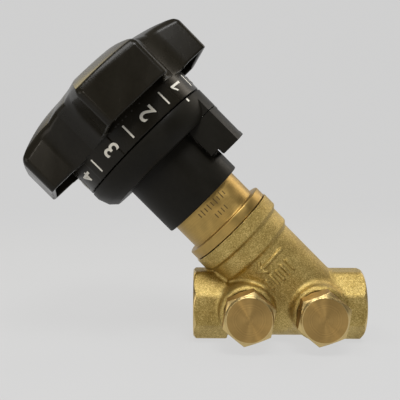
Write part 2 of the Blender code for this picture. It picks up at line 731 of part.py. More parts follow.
def handwheel(look, turning):
    wheel = wheel_block(look, turning)
    skirt = rod(SKIRT_RADIUS, SKIRT_BOTTOM, POCKET_ROOF)
    boolean(wheel, solid("skirt", turned(skirt), None, turning), "UNION")

    inside = SKIRT_RADIUS - SKIRT_WALL
    hollow = [
        (0.0, SKIRT_BOTTOM - 1.0),
        (inside, SKIRT_BOTTOM - 1.0),
        (inside, dome_height(inside) - DOME_THICKNESS),
        (HUB_RADIUS, dome_height(HUB_RADIUS) - DOME_THICKNESS - 2.0),
        (HUB_RADIUS, HUB_BOTTOM),
        (0.0, HUB_BOTTOM),
    ]
    boolean(wheel, solid("wheel_hollow", turned(hollow), None, turning), "DIFFERENCE")

    outline = wheel_outline(LOBE_WALL, 2)
    pockets = solid("lobe_pockets", prism(outline, LOBE_BOTTOM - 1.0, POCKET_ROOF), None, turning)
    middle = turned(rod(POCKET_FLOOR_RADIUS, LOBE_BOTTOM - 2.0, POCKET_ROOF + 1.0), LARGE_STEPS, 2.0)
    boolean(pockets, solid("pocket_middle", middle, None, turning), "DIFFERENCE")
    boolean(wheel, pockets, "DIFFERENCE")

    well = [
        (0.0, HUB_WELL_FLOOR),
        (HUB_WELL_RADIUS, HUB_WELL_FLOOR),
        (HUB_WELL_RADIUS, CAP_SEAT),
        (CAP_SEAT_RADIUS, CAP_SEAT),
        (CAP_SEAT_RADIUS, DOME_TOP + 2.0),
        (0.0, DOME_TOP + 2.0),
    ]
    boolean(wheel, solid("hub_well", turned(well, RING_STEPS), None, turning), "DIFFERENCE")
    half = DRIVE_SIDE / 2.0 + GAP
    hole = block((-half, -half, HUB_BOTTOM - 1.0), (half, half, HUB_WELL_FLOOR + 1.0))
    boolean(wheel, solid("drive_hole", hole, None, turning), "DIFFERENCE")


def handwheel_cap(look, turning):
    plug_bottom = CAP_SEAT - 2.0
    profile = [
        (0.0, plug_bottom),
        (HUB_WELL_RADIUS - GAP, plug_bottom),
        (HUB_WELL_RADIUS - GAP, CAP_SEAT + GAP),
        (CAP_SEAT_RADIUS - GAP, CAP_SEAT + GAP),
        (CAP_SEAT_RADIUS - GAP, dome_height(CAP_SEAT_RADIUS)),
        (CAP_SEAT_RADIUS - 1.2, dome_height(CAP_SEAT_RADIUS) + 0.5),
        (0.0, CAP_TOP),
    ]
    solid("handwheel_cap", turned(profile, RING_STEPS), look, turning)


def indicator_drum(look, turning):
    """The grooved drum that drives the slider. Its flange locates inside the handwheel's skirt."""
    drum_flange = SKIRT_RADIUS - SKIRT_WALL - GAP
    profile = [
        (DRUM_BORE_RADIUS, DRUM_BOTTOM),
        (DRUM_RADIUS, DRUM_BOTTOM),
        (DRUM_RADIUS, DRUM_TOP - 2.0),
        (drum_flange, DRUM_TOP - 2.0),
        (drum_flange, DRUM_TOP),
        (DRUM_BORE_RADIUS, DRUM_TOP),
    ]
    solid("indicator_drum", turned(profile, RING_STEPS), look, turning)


def spindle(look, turning):
    groove_floor = NECK_BORE_RADIUS - 2.0 * O_RING_WIRE - GAP - O_RING_SQUEEZE
    groove = O_RING_WIRE + GAP
    clip_floor = SHAFT_RADIUS - CIRCLIP_DEPTH - GAP
    profile = [
        (PRESET_BORE_RADIUS, SPINDLE_BOTTOM),
        (SPINDLE_THREAD_RADIUS - THREAD_CHAMFER, SPINDLE_BOTTOM),
        (SPINDLE_THREAD_RADIUS, SPINDLE_BOTTOM + THREAD_CHAMFER),
        (SPINDLE_THREAD_RADIUS, COLLAR_BOTTOM),
        (COLLAR_RADIUS, COLLAR_BOTTOM),
        (COLLAR_RADIUS, COLLAR_TOP),
        (SHAFT_RADIUS, COLLAR_TOP),
    ]
    for height in O_RING_HEIGHTS:
        profile += [
            (SHAFT_RADIUS, height - groove),
            (groove_floor, height - groove),
            (groove_floor, height + groove),
            (SHAFT_RADIUS, height + groove),
        ]
    profile += [
        (SHAFT_RADIUS, CIRCLIP_HEIGHT - GAP),
        (clip_floor, CIRCLIP_HEIGHT - GAP),
        (clip_floor, CIRCLIP_HEIGHT + CIRCLIP_THICKNESS + GAP),
        (SHAFT_RADIUS, CIRCLIP_HEIGHT + CIRCLIP_THICKNESS + GAP),
        (SHAFT_RADIUS, SHAFT_TOP),
        (SPINDLE_TIP_RADIUS, SHAFT_TOP),
        (SPINDLE_TIP_RADIUS, SPINDLE_TOP),
        (PRESET_BORE_RADIUS, SPINDLE_TOP),
    ]
    made = solid("spindle", turned(profile, SMALL_STEPS), look, turning)
    half = DRIVE_SIDE / 2.0
    square = block((-half, -half, SHAFT_TOP - 1.0), (half, half, DRIVE_TOP))
    drive = solid("drive_square", square, None, turning)
    hollow = turned(rod(PRESET_BORE_RADIUS + 0.2, SHAFT_TOP - 2.0, DRIVE_TOP + 1.0), SMALL_STEPS)
    boolean(drive, solid("drive_hollow", hollow, None, turning), "DIFFERENCE")
    boolean(made, drive, "UNION")


def spindle_o_rings(look, turning):
    radius = NECK_BORE_RADIUS - O_RING_SQUEEZE - O_RING_WIRE
    for number, height in enumerate(O_RING_HEIGHTS, start=1):
        section = round_section(radius, height, O_RING_WIRE)
        solid(f"spindle_o_ring_{number}", turned(section, SMALL_STEPS), look, turning)


def spindle_circlip(look, turning):
    high = CIRCLIP_HEIGHT + CIRCLIP_THICKNESS
    inner = SHAFT_RADIUS - CIRCLIP_DEPTH
    profile = ring(inner, SHAFT_RADIUS + CIRCLIP_REACH, CIRCLIP_HEIGHT, high)
    solid("spindle_circlip", turned(profile, SMALL_STEPS), look, turning)


def handwheel_fastening(look, turning):
    """The washer and the nut that hold the handwheel on the spindle's threaded tip."""
    hole_radius = SPINDLE_TIP_RADIUS + GAP
    washer_low = HUB_WELL_FLOOR + GAP
    washer_high = washer_low + WHEEL_WASHER_THICKNESS
    washer = ring(hole_radius, WHEEL_WASHER_RADIUS, washer_low, washer_high)
    solid("handwheel_washer", turned(washer, SMALL_STEPS), look, turning)
    nut_low = washer_high + GAP
    nut_high = nut_low + WHEEL_NUT_THICKNESS
    nut = solid("handwheel_nut", prism(polygon(6, NUT_FLATS), nut_low, nut_high), look, turning)
    hole = turned(rod(hole_radius, nut_low - 1.0, nut_high + 1.0), SMALL_STEPS)
    boolean(nut, solid("nut_hole", hole, None, turning), "DIFFERENCE")


def preset_screw(look, turning):
    """The slotted screw inside the spindle that sets how far the valve may open."""
    screw_top = SPINDLE_TOP + 0.8
    screw = turned(rod(PRESET_BORE_RADIUS - GAP, SPINDLE_BOTTOM + 0.6, screw_top), SMALL_STEPS)
    preset = solid("preset_screw", screw, look, turning)
    across = PRESET_BORE_RADIUS + 1.0
    half = PRESET_SLOT_HALF_WIDTH
    slot = block((-across, -half, SPINDLE_TOP), (across, half, screw_top + 1.0))
    boolean(preset, solid("preset_slot", slot, None, turning), "DIFFERENCE")


def thrust_washers(look, stem):
    lower = ring(NECK_BORE_RADIUS, GUIDE_RADIUS - GAP, COLLAR_TOP + GAP, BONNET_SHOULDER - GAP)
    solid("lower_thrust_washer", turned(lower, SMALL_STEPS), look, stem)
    upper = ring(NECK_BORE_RADIUS, NECK_RADIUS, NECK_TOP + GAP, CIRCLIP_HEIGHT - GAP)
    solid("upper_thrust_washer", turned(upper, SMALL_STEPS), look, stem)


# --- Disc group -----------------------------------------------------------------------------------


def disc_seal(look, disc):
    profile = ring(STUD_RADIUS + GAP, CARRIER_RADIUS, DISC_SEAL_HEIGHT, DISC_SEAL_TOP)
    solid("disc_seal", turned(profile, SMALL_STEPS), look, disc)


def disc_carrier(look, disc):
    """The carrier runs on the spindle's thread and holds the seal on its stud."""
    low = DISC_SEAL_TOP + GAP
    high = low + CARRIER_LENGTH
    profile = [
        (0.0, DISC_SEAL_HEIGHT - STUD_LENGTH),
        (STUD_RADIUS, DISC_SEAL_HEIGHT - STUD_LENGTH),
        (STUD_RADIUS, low),
        (CARRIER_RADIUS, low),
        (CARRIER_RADIUS, high),
        (CARRIER_BORE_RADIUS, high),
        (CARRIER_BORE_RADIUS, low + 2.0),
        (0.0, low + 2.0),
    ]
    carrier = solid("disc_carrier", turned(profile, RING_STEPS), look, disc)
    half = GUIDE_PIN_SIDE / 2.0 + GAP
    slot_low = (-CARRIER_RADIUS - 1.0, -half, low + 10.0)
    slot = block(slot_low, (-CARRIER_RADIUS + 1.6, half, high - 0.8))
    boolean(carrier, solid("pin_slot", slot, None, disc), "DIFFERENCE")


def disc_fastening(steel, brass, disc):
    """The washer and the nut below the seal."""
    hole_radius = STUD_RADIUS + GAP
    washer_high = DISC_SEAL_HEIGHT - GAP
    washer_low = washer_high - DISC_WASHER_THICKNESS
    washer = ring(hole_radius, SEAT_RADIUS - 0.5, washer_low, washer_high)
    solid("disc_washer", turned(washer, SMALL_STEPS), steel, disc)
    nut_high = washer_low - GAP
    nut_low = nut_high - DISC_NUT_THICKNESS
    nut = solid("disc_nut", prism(polygon(6, DISC_NUT_FLATS), nut_low, nut_high), brass, disc)
    hole = turned(rod(hole_radius, nut_low - 1.0, nut_high + 1.0), SMALL_STEPS)
    boolean(nut, solid("disc_nut_hole", hole, None, disc), "DIFFERENCE")


def main():
    clear_scene()
    cast_brass = material("cast_brass", (0.42, 0.27, 0.09), 0.45, 1.0)
    turned_brass = material("turned_brass", (0.50, 0.33, 0.13), 0.3, 1.0)
    black_matt = material("black_matt_plastic", (0.022, 0.022, 0.02), 0.5)
    black_gloss = material("black_gloss_plastic", (0.012, 0.011, 0.008), 0.12)
    clear = material("clear_plastic", (0.6, 0.6, 0.58), 0.08, 0.0, 0.35)
    ivory = material("ivory_plastic", (0.75, 0.72, 0.65), 0.4)
    rubber = material("black_rubber", (0.02, 0.02, 0.02), 0.7)
    steel = material("steel", (0.5, 0.5, 0.5), 0.3, 1.0)

    along_pipe = empty("pipe_axis", turn=(0.0, 90.0, 0.0))
    stem = empty("stem_axis", (STEM_FOOT, 0.0, 0.0), (0.0, STEM_TILT, 0.0))
    turning = empty("handwheel_turn", parent=stem)
    disc = empty("disc_slide", parent=stem)
    slide = empty("turns_slide", parent=stem)
    ports = {}
    for side, along in TEST_PORTS.items():
        ports[side] = empty(f"{side}_test_port", (along, 0.0, 0.0), (90.0, 0.0, 0.0))

    valve_body(cast_brass, along_pipe, stem, ports)
    for side, port in ports.items():
        test_port_plug(side, turned_brass, port)
        test_port_seal(side, rubber, port)
    bonnet(turned_brass, stem)
    guide_pin(steel, stem)
    bonnet_o_ring(rubber, stem)
    shroud_clip(steel, stem)
    indicator_shroud(black_matt, stem)
    window_housing(black_matt, stem)
    window_pane(clear, stem)
    turns_slider(ivory, slide)
    handwheel(black_gloss, turning)
    handwheel_cap(black_gloss, turning)
    indicator_drum(black_matt, turning)
    spindle(turned_brass, turning)
    spindle_o_rings(rubber, turning)
    spindle_circlip(steel, turning)
    handwheel_fastening(steel, turning)
    preset_screw(turned_brass, turning)
    thrust_washers(ivory, stem)
    disc_seal(rubber, disc)
    disc_carrier(turned_brass, disc)
    disc_fastening(steel, turned_brass, disc)


main()
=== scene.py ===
"""The looks of a small balancing valve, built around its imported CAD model.

Lengths are in millimetres and angles in degrees until a mesh is made; MM turns them into metres.
The pipe runs along +X from the left end face. The stem rises at 45 degrees, up and to the left.
A piece is modelled in the frame of its own axis (PIPE, STEM or a test port) with local Z along it.
"""

import json
import math

import bmesh
import bpy
import numpy as np
from mathutils import Matrix, Vector

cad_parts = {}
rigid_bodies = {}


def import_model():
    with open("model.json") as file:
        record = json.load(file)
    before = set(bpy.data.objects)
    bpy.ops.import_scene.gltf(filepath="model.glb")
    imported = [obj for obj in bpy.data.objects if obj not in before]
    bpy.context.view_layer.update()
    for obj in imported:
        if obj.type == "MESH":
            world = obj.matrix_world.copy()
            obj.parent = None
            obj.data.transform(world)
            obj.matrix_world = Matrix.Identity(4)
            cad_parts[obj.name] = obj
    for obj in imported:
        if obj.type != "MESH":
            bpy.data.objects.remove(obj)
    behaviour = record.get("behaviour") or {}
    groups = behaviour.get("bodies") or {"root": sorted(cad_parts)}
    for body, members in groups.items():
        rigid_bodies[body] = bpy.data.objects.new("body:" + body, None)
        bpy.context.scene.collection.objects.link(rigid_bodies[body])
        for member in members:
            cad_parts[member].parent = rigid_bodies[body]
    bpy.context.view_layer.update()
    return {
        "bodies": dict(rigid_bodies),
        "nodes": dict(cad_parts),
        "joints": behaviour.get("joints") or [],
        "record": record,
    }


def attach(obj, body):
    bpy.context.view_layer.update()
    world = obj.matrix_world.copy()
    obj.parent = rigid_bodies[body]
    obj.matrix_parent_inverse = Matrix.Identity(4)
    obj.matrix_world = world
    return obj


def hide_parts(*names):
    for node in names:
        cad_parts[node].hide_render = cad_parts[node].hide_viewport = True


MM = 0.001

# Body, as in the CAD. The casting stands proud by CAST_STOCK where a face is machined.
CAST_STOCK = 2.0
FACE_TO_FACE = 65.0
END_FLATS = 26.1
END_LENGTH = 13.0
END_FACE_RADIUS = 12.75
END_CORNER_ROUNDING = 0.9
END_EDGE_ROUNDING = 0.7
END_FILLET = 0.8
PIPE_RADIUS = 12.3
PIPE_INSET = 6.0
SOCKET_RADIUS = 9.3
SOCKET_DEPTH = 13.0
SOCKET_CHAMFER = 1.1
OUTLET_PASSAGE = (7.0, 30.0)
INLET_PASSAGE = (7.5, 42.0)
STEM_FOOT = 44.1
BRANCH_RADIUS = 15.5
BRANCH_FILLET = 2.2
LOWER_COLLAR = (16.8, 29.6)
LOWER_COLLAR_ROUNDING = 0.9
LOWER_COLLAR_FILLET = 1.5
UPPER_COLLAR = (18.1, 36.8)
UPPER_COLLAR_ROUNDING = 0.8
UPPER_COLLAR_FILLET = 1.2
BODY_TOP = 42.0
CHAMBER_RADIUS = 12.0
CHAMBER_FLOOR = 9.0
SEAT_RADIUS = 6.0
TEST_PORTS = {"left": 20.0, "right": 46.5}
BOSS_RADIUS = 10.4
BOSS_FACE = 18.6
BOSS_ROUNDING = 2.0
BOSS_FILLET = 1.8
BOSS_SPOT_DEPTH = 0.1
BOSS_BORE_RADIUS = 6.6
BOSS_BORE_FLOOR = 9.6
SEAL_BOTTOM = 18.9
SEAL_TOP = 20.1
SEAL_RADIUS = 7.4
PLUG_COLLAR = (7.7, 8.65)
PLUG_FLATS = 17.4
PLUG_BOTTOM = 20.4
PLUG_TOP = 28.0
PLUG_TURN = 10.0
PLUG_CHAMFER = 0.8
PLUG_CHAMFER_SLOPE = 0.5
PLUG_CROWN_STEP = 0.6
SHANK_BOTTOM = 11.6
SHANK_RADIUS = 6.3
SHANK_CHAMFER = 0.8

# Raised marks on the branch, as (turn about the stem, height) points: a flow arrow over a row of bars.
ARROW_TIP = (-14.0, 24.7)
ARROW_TAIL = (30.0, 24.7)
ARROW_BARBS = ((-5.0, 26.9), (-5.0, 22.5))
BAR_TURNS = (-16.0, -6.0, 4.0, 14.0, 24.0)
BAR_BOTTOM = 16.5
BAR_TOP = 20.3
MARK_HALF_WIDTH = 0.6
MARK_RISE = 0.75
MARK_ROUNDING = 0.35
MARK_FILLET = 0.25

# Socket thread, a half-inch parallel pipe thread.
THREAD_PITCH = 1.814
THREAD_DEPTH = 1.1
THREAD_END = 11.6
THREAD_FADE = 1.0

# Bonnet, shroud and window.
BONNET_BORE_RADIUS = 9.1
BONNET_BORE_TOP = 54.6
BONNET_TAIL_RADIUS = 11.6
BONNET_BOTTOM = 26.0
O_RING_GROOVE_RADIUS = 10.1
O_RING_GROOVE = (38.65, 40.55)
FLANGE_RADIUS = 17.7
FLANGE_BOTTOM = 42.3
FLANGE_TOP = 46.1
BONNET_SLEEVE_RADIUS = 14.95
BONNET_SLEEVE_TOP = 61.0
NECK_RADIUS = 9.0
NECK_TOP = 86.0
STEM_BORE_RADIUS = 5.0
CLIP_HEIGHT = 58.9
CLIP_GROOVE_HALF = 0.9
CLIP_GROOVE_DEPTH = 1.2
SHROUD_SLEEVE_RADIUS = 17.4
SLEEVE_BORE_RADIUS = 15.4
SHROUD_BOTTOM = 57.1
DISH_BOTTOM = 78.7
DISH_FLOOR_RADIUS = 24.4
DISH_CONE_START = (26.9, 81.1)
DISH_RADIUS = 28.4
DISH_CONE_END = 85.2
DISH_TOP = 88.0
DISH_WALL = 2.2
DISH_INNER_FLOOR = 81.1
DISH_INNER_SLOPE_RUN = 1.6
SLIDER_SLOT = (65.2, 79.4)
SLIDER_SLOT_HALF_WIDTH = 1.3
WINDOW_HALF_WIDTH = 13.5
WINDOW_BOTTOM = 64.3
WINDOW_TOP = 79.2
WINDOW_INNER = 14.0
WINDOW_NOTCH = (17.9, 66.9)
WINDOW_WALL = 1.8
PANE_HALF_WIDTH = 5.0
PANE_BOTTOM = 66.0
PANE_TOP = 78.0
PANE_HOLE_DEPTH_RADIUS = 20.4
GAP = 0.3

# Plain tick marks on the bonnet's sleeve, in an upper and a lower row.
UPPER_TICKS = 9
UPPER_TICKS_FIRST_TURN = -17.0
UPPER_TICKS_HEIGHT = 54.4
UPPER_TICK_LENGTHS = (1.8, 2.6)
LOWER_TICKS = 4
LOWER_TICKS_HEIGHT = 50.2
LOWER_TICK_LENGTH = 2.0
SLEEVE_TICK_STEP = 6.0
SLEEVE_TICK_WIDE = 0.42
SLEEVE_TICK_THICKNESS = 0.03

# Handwheel.
LOBES = 4
LOBE_MIDDLE = 15.5
LOBE_REACH = 39.7
LOBE_HALF_WIDTH = 13.6
LOBE_BOTTOM = 97.6
LOBE_WALL = 1.8
LOBE_CORNER_RADIUS = 2.2
LOBE_EDGE_ROUNDING = 0.6
VALLEY_REACH = 28.7 / math.cos(math.radians(13.0))
VALLEY_TURN = 32.0
VALLEY_CORNER_RADIUS = 5.0
POCKET_ROOF = 108.5
POCKET_EDGE_ROUNDING = 0.5
DOME_TOP = 121.5
DOME_DROP = 8.4
DOME_DROP_RADIUS = 40.5
DOME_POWER = 2.5
DOME_FOLLOWS_RIM = 0.5
DOME_THICKNESS = 3.0
RIM_ROUNDING = 2.0
SKIRT_RADIUS = 28.4
SKIRT_BOTTOM = 88.4
SKIRT_WALL = 2.2
SKIRT_ROUNDING = 0.3
HUB_RADIUS = 10.8
HUB_BOTTOM = 92.4
HUB_TOP = 118.0
HUB_WELL_RADIUS = 8.0
HUB_WELL_FLOOR = 105.0
DRIVE_HALF_SIDE = 3.3
CAP_SEAT_RADIUS = 11.6
CAP_SEAT = 119.0
CAP_TOP = 121.9

# Dial: ten digits round the skirt, a tick half-way after each.
DIAL_FIRST_TURN = 53.2
DIAL_STEP = 36.0
DIAL_TICK_TURN = 35.2
DIAL_HEIGHT = 93.1
DIGIT_TALL = 6.2
TICK_LONG = 5.6
TICK_WIDE = 0.68
INK_THICKNESS = 0.05
INDEX_MARK_TURN = 50.7
INDEX_MARK_HEIGHT = 87.1
INDEX_MARK_SIZE = (0.9, 1.3)

# Camera and studio.
CAMERA_LENS = 60.734
CAMERA_PLACE = (3.767, -259.847, 59.888)
CAMERA_TURN = 0.299
CAMERA_DOWN = 4.3595
CAMERA_ROLL = 0.161
LIGHT_TARGET = (15.0, 0.0, 35.0)
SHEET_GREY = 0.07
SHEET_GLOW = 0.6
SHEET_HALF_WIDTH = 1500.0
SHEET_FRONT = -900.0
SHEET_BEND_START = 500.0
SHEET_BEND_RADIUS = 500.0
SHEET_TOP = 1600.0

PIPE = Matrix.Rotation(math.radians(90.0), 4, "Y")
STEM = Matrix.Translation((STEM_FOOT, 0.0, 0.0)) @ Matrix.Rotation(math.radians(-45.0), 4, "Y")
PORTS = {
    side: Matrix.Translation((along, 0.0, 0.0)) @ Matrix.Rotation(math.radians(90.0), 4, "X")
    for side, along in TEST_PORTS.items()
}
WORLD = Matrix.Identity(4)


# --- Mesh tools -----------------------------------------------------------------------------------


def in_metres(frame):
    placed = frame.copy()
    placed.translation = frame.translation * MM
    return placed


def finish_mesh(name, bm, looks, frame, sharp=30.0):
    """Turns a bmesh in millimetres into an object in its frame, in metres."""
    bmesh.ops.remove_doubles(bm, verts=bm.verts, dist=1e-5)
    bmesh.ops.recalc_face_normals(bm, faces=bm.faces)
    bmesh.ops.scale(bm, vec=(MM, MM, MM), verts=bm.verts)
    mesh = bpy.data.meshes.new(name)
    bm.to_mesh(mesh)
    bm.free()
    mesh.shade_smooth()
    mesh.set_sharp_from_angle(angle=math.radians(sharp))
    for look in looks:
        mesh.materials.append(look)
    made = bpy.data.objects.new(name, mesh)
    made.matrix_world = in_metres(frame)
    bpy.context.scene.collection.objects.link(made)
    return made


def rounded(profile, steps=5):
    """Profile points (radius, height) or (radius, height, fillet), with each fillet as an arc."""
    made = []
    for index, point in enumerate(profile):
        here = Vector(point[:2])
        fillet = point[2] if len(point) > 2 else 0.0
        if not fillet:
            made.append(here)
            continue
        back = (Vector(profile[index - 1][:2]) - here).normalized()
        on = (Vector(profile[(index + 1) % len(profile)][:2]) - here).normalized()
        half = back.angle(on) / 2.0
        centre = here + (back + on).normalized() * (fillet / math.sin(half))
        start = here + back * (fillet / math.tan(half)) - centre
        sweep = math.copysign(math.pi - 2.0 * half, back.cross(on))
        for step in range(steps + 1):
            made.append(centre + Matrix.Rotation(-sweep * step / steps, 2) @ start)
    return made


def turned(profile, steps=128):
    """Spins a closed profile about Z. Points on the axis close it there."""
    bm = bmesh.new()
    points = [bm.verts.new((point[0], 0.0, point[1])) for point in rounded(profile)]
    edges = [bm.edges.new(pair) for pair in zip(points, points[1:])]
    if profile[0][0] > 0.0 or profile[-1][0] > 0.0:
        edges.append(bm.edges.new((points[-1], points[0])))
    bmesh.ops.spin(
        bm,
        geom=points + edges,
        cent=(0.0, 0.0, 0.0),
        axis=(0.0, 0.0, 1.0),
        angle=2.0 * math.pi,
        steps=steps,
        use_merge=True,
    )
    return bm


def prism(outline, low, high):
    bm = bmesh.new()
    face = bm.faces.new([bm.verts.new((x, y, low)) for x, y in outline])
    grown = bmesh.ops.extrude_face_region(bm, geom=[face])
    raised = [item for item in grown["geom"] if isinstance(item, bmesh.types.BMVert)]
    bmesh.ops.translate(bm, vec=(0.0, 0.0, high - low), verts=raised)
    return bm


def block(low, high):
    outline = [(low[0], low[1]), (high[0], low[1]), (high[0], high[1]), (low[0], high[1])]
    return prism(outline, low[2], high[2])


def side_prism(outline, half_width):
    """Extrudes an outline of (x, z) points to both sides of the local XZ plane."""
    bm = prism(outline, -half_width, half_width)
    bmesh.ops.rotate(bm, matrix=Matrix.Rotation(math.radians(90.0), 3, "X"), verts=bm.verts)
    return bm


def polygon(sides, flats, first_corner=0.0):
    radius = flats / 2.0 / math.cos(math.pi / sides)
    turns = [math.radians(first_corner + 360.0 * step / sides) for step in range(sides)]
    return [(radius * math.cos(turn), radius * math.sin(turn)) for turn in turns]


def cut(target, bm, operation="DIFFERENCE", frame=None, look=None):
    """Applies one boolean to the target. The new faces take the given look."""
    tool = finish_mesh("tool", bm, [look] if look else [], WORLD)
    tool.matrix_world = in_metres(frame) if frame else target.matrix_world
    bpy.context.view_layer.update()
    added = target.modifiers.new("cut", "BOOLEAN")
    added.operation = operation
    added.solver = "MANIFOLD"
    added.object = tool
    added.material_mode = "TRANSFER" if look else "INDEX"
    result = bpy.data.meshes.new_from_object(target.evaluated_get(bpy.context.evaluated_depsgraph_get()))
    target.modifiers.clear()
    target.data = result
    bpy.data.objects.remove(tool)
    return target


def resharpen(piece, angle=30.0):
    piece.data.shade_smooth()
    piece.data.set_sharp_from_angle(angle=math.radians(angle))
    return piece


def ride(piece, body, slot, *nodes):
    """Puts a finished piece on its body, and hides the CAD nodes it stands for. The slot is not used."""
    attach(piece, body)
    if nodes:
        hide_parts(*nodes)
    return piece


# --- Distance functions, for the cast and moulded shapes ------------------------------------------


def overlap(a, b, rounding):
    """What two solids share, with the edge between them rounded off."""
    inner = np.minimum(np.maximum(a, b), -rounding)
    return inner + np.hypot(np.maximum(a + rounding, 0.0), np.maximum(b + rounding, 0.0))


def join(a, b, fillet):
    """Two solids as one, with a fillet where they meet."""
    return -overlap(-a, -b, fillet)


def local_points(points, frame):
    axes = np.array(frame.to_3x3())
    return (points - np.array(frame.translation)) @ axes


def cylinder_distance(points, radius, low, high, rounding):
    radial = np.hypot(points[:, 0], points[:, 1])
    return overlap(radial - radius, np.maximum(low - points[:, 2], points[:, 2] - high), rounding)


def gradient(distance, points, reach=0.02):
    found = np.empty_like(points)
    for axis in range(3):
        shift = np.zeros(3)
        shift[axis] = reach
        found[:, axis] = (distance(points + shift) - distance(points - shift)) / (2.0 * reach)
    return found


def settle(distance, points, rounds):
    """Moves points onto the zero surface of a distance function."""
    for _ in range(rounds):
        slope = gradient(distance, points)
        steep = np.maximum((slope**2).sum(1), 0.05)
        step = slope * (distance(points) / steep)[:, None]
        points = points - np.clip(step, -0.3, 0.3)
    return points


def surface_net(distance, low, high, cell):
    """Points and quads of a distance function's zero surface, found on a grid of cells."""
    axes = [np.arange(start, stop + cell, cell) for start, stop in zip(low, high)]
    grid = np.stack(np.meshgrid(*axes, indexing="ij"), -1)
    inside = distance(grid.reshape(-1, 3)).reshape(grid.shape[:3]) < 0.0
    filled = sum(
        inside[i : i - 1 or None, j : j - 1 or None, k : k - 1 or None].astype(int)
        for i in (0, 1)
        for j in (0, 1)
        for k in (0, 1)
    )
    mixed = (filled > 0) & (filled < 8)
    index = np.full(mixed.shape, -1)
    index[mixed] = np.arange(mixed.sum())
    points = np.array(low) + (np.argwhere(mixed) + 0.5) * cell
    quads = []
    for axis in range(3):
        before = np.take(inside, range(inside.shape[axis] - 1), axis)
        after = np.take(inside, range(1, inside.shape[axis]), axis)
        places = np.argwhere(before != after)
        leaving = before[tuple(places.T)]
        steps = np.eye(3, dtype=int)
        side, up = steps[(axis + 1) % 3], steps[(axis + 2) % 3]
        around = [places, places - side, places - side - up, places - up]
        ring = np.stack([index[tuple(cells.T)] for cells in around], 1)
        ring[~leaving] = ring[~leaving][:, ::-1]
        quads.append(ring)
    quads = np.concatenate(quads)
    points = settle(distance, points, 3)
    for _ in range(2):
        total = np.zeros_like(points)
        count = np.zeros(len(points))
        for corner in range(4):
            here, there = quads[:, corner], quads[:, (corner + 1) % 4]
            np.add.at(total, here, points[there])
            np.add.at(total, there, points[here])
            np.add.at(count, here, 1)
            np.add.at(count, there, 1)
        points = settle(distance, 0.5 * points + 0.5 * total / count[:, None], 2)
    return points, quads


def net_piece(name, distance, low, high, cell, look, frame):
    """An unturned object that follows a distance function given in the frame's own millimetres."""
    points, quads = surface_net(distance, low, high, cell)
    slope = gradient(distance, points)
    turn = np.array(frame.to_3x3()).T
    normals = slope / np.linalg.norm(slope, axis=1, keepdims=True) @ turn
    points = points @ turn + np.array(frame.translation)
    mesh = bpy.data.meshes.new(name)
    mesh.from_pydata((points * MM).tolist(), [], quads.tolist())
    mesh.shade_smooth()
    mesh.normals_split_custom_set_from_vertices(normals.tolist())
    mesh.materials.append(look)
    made = bpy.data.objects.new(name, mesh)
    bpy.context.scene.collection.objects.link(made)
    return made


# --- Materials ------------------------------------------------------------------------------------


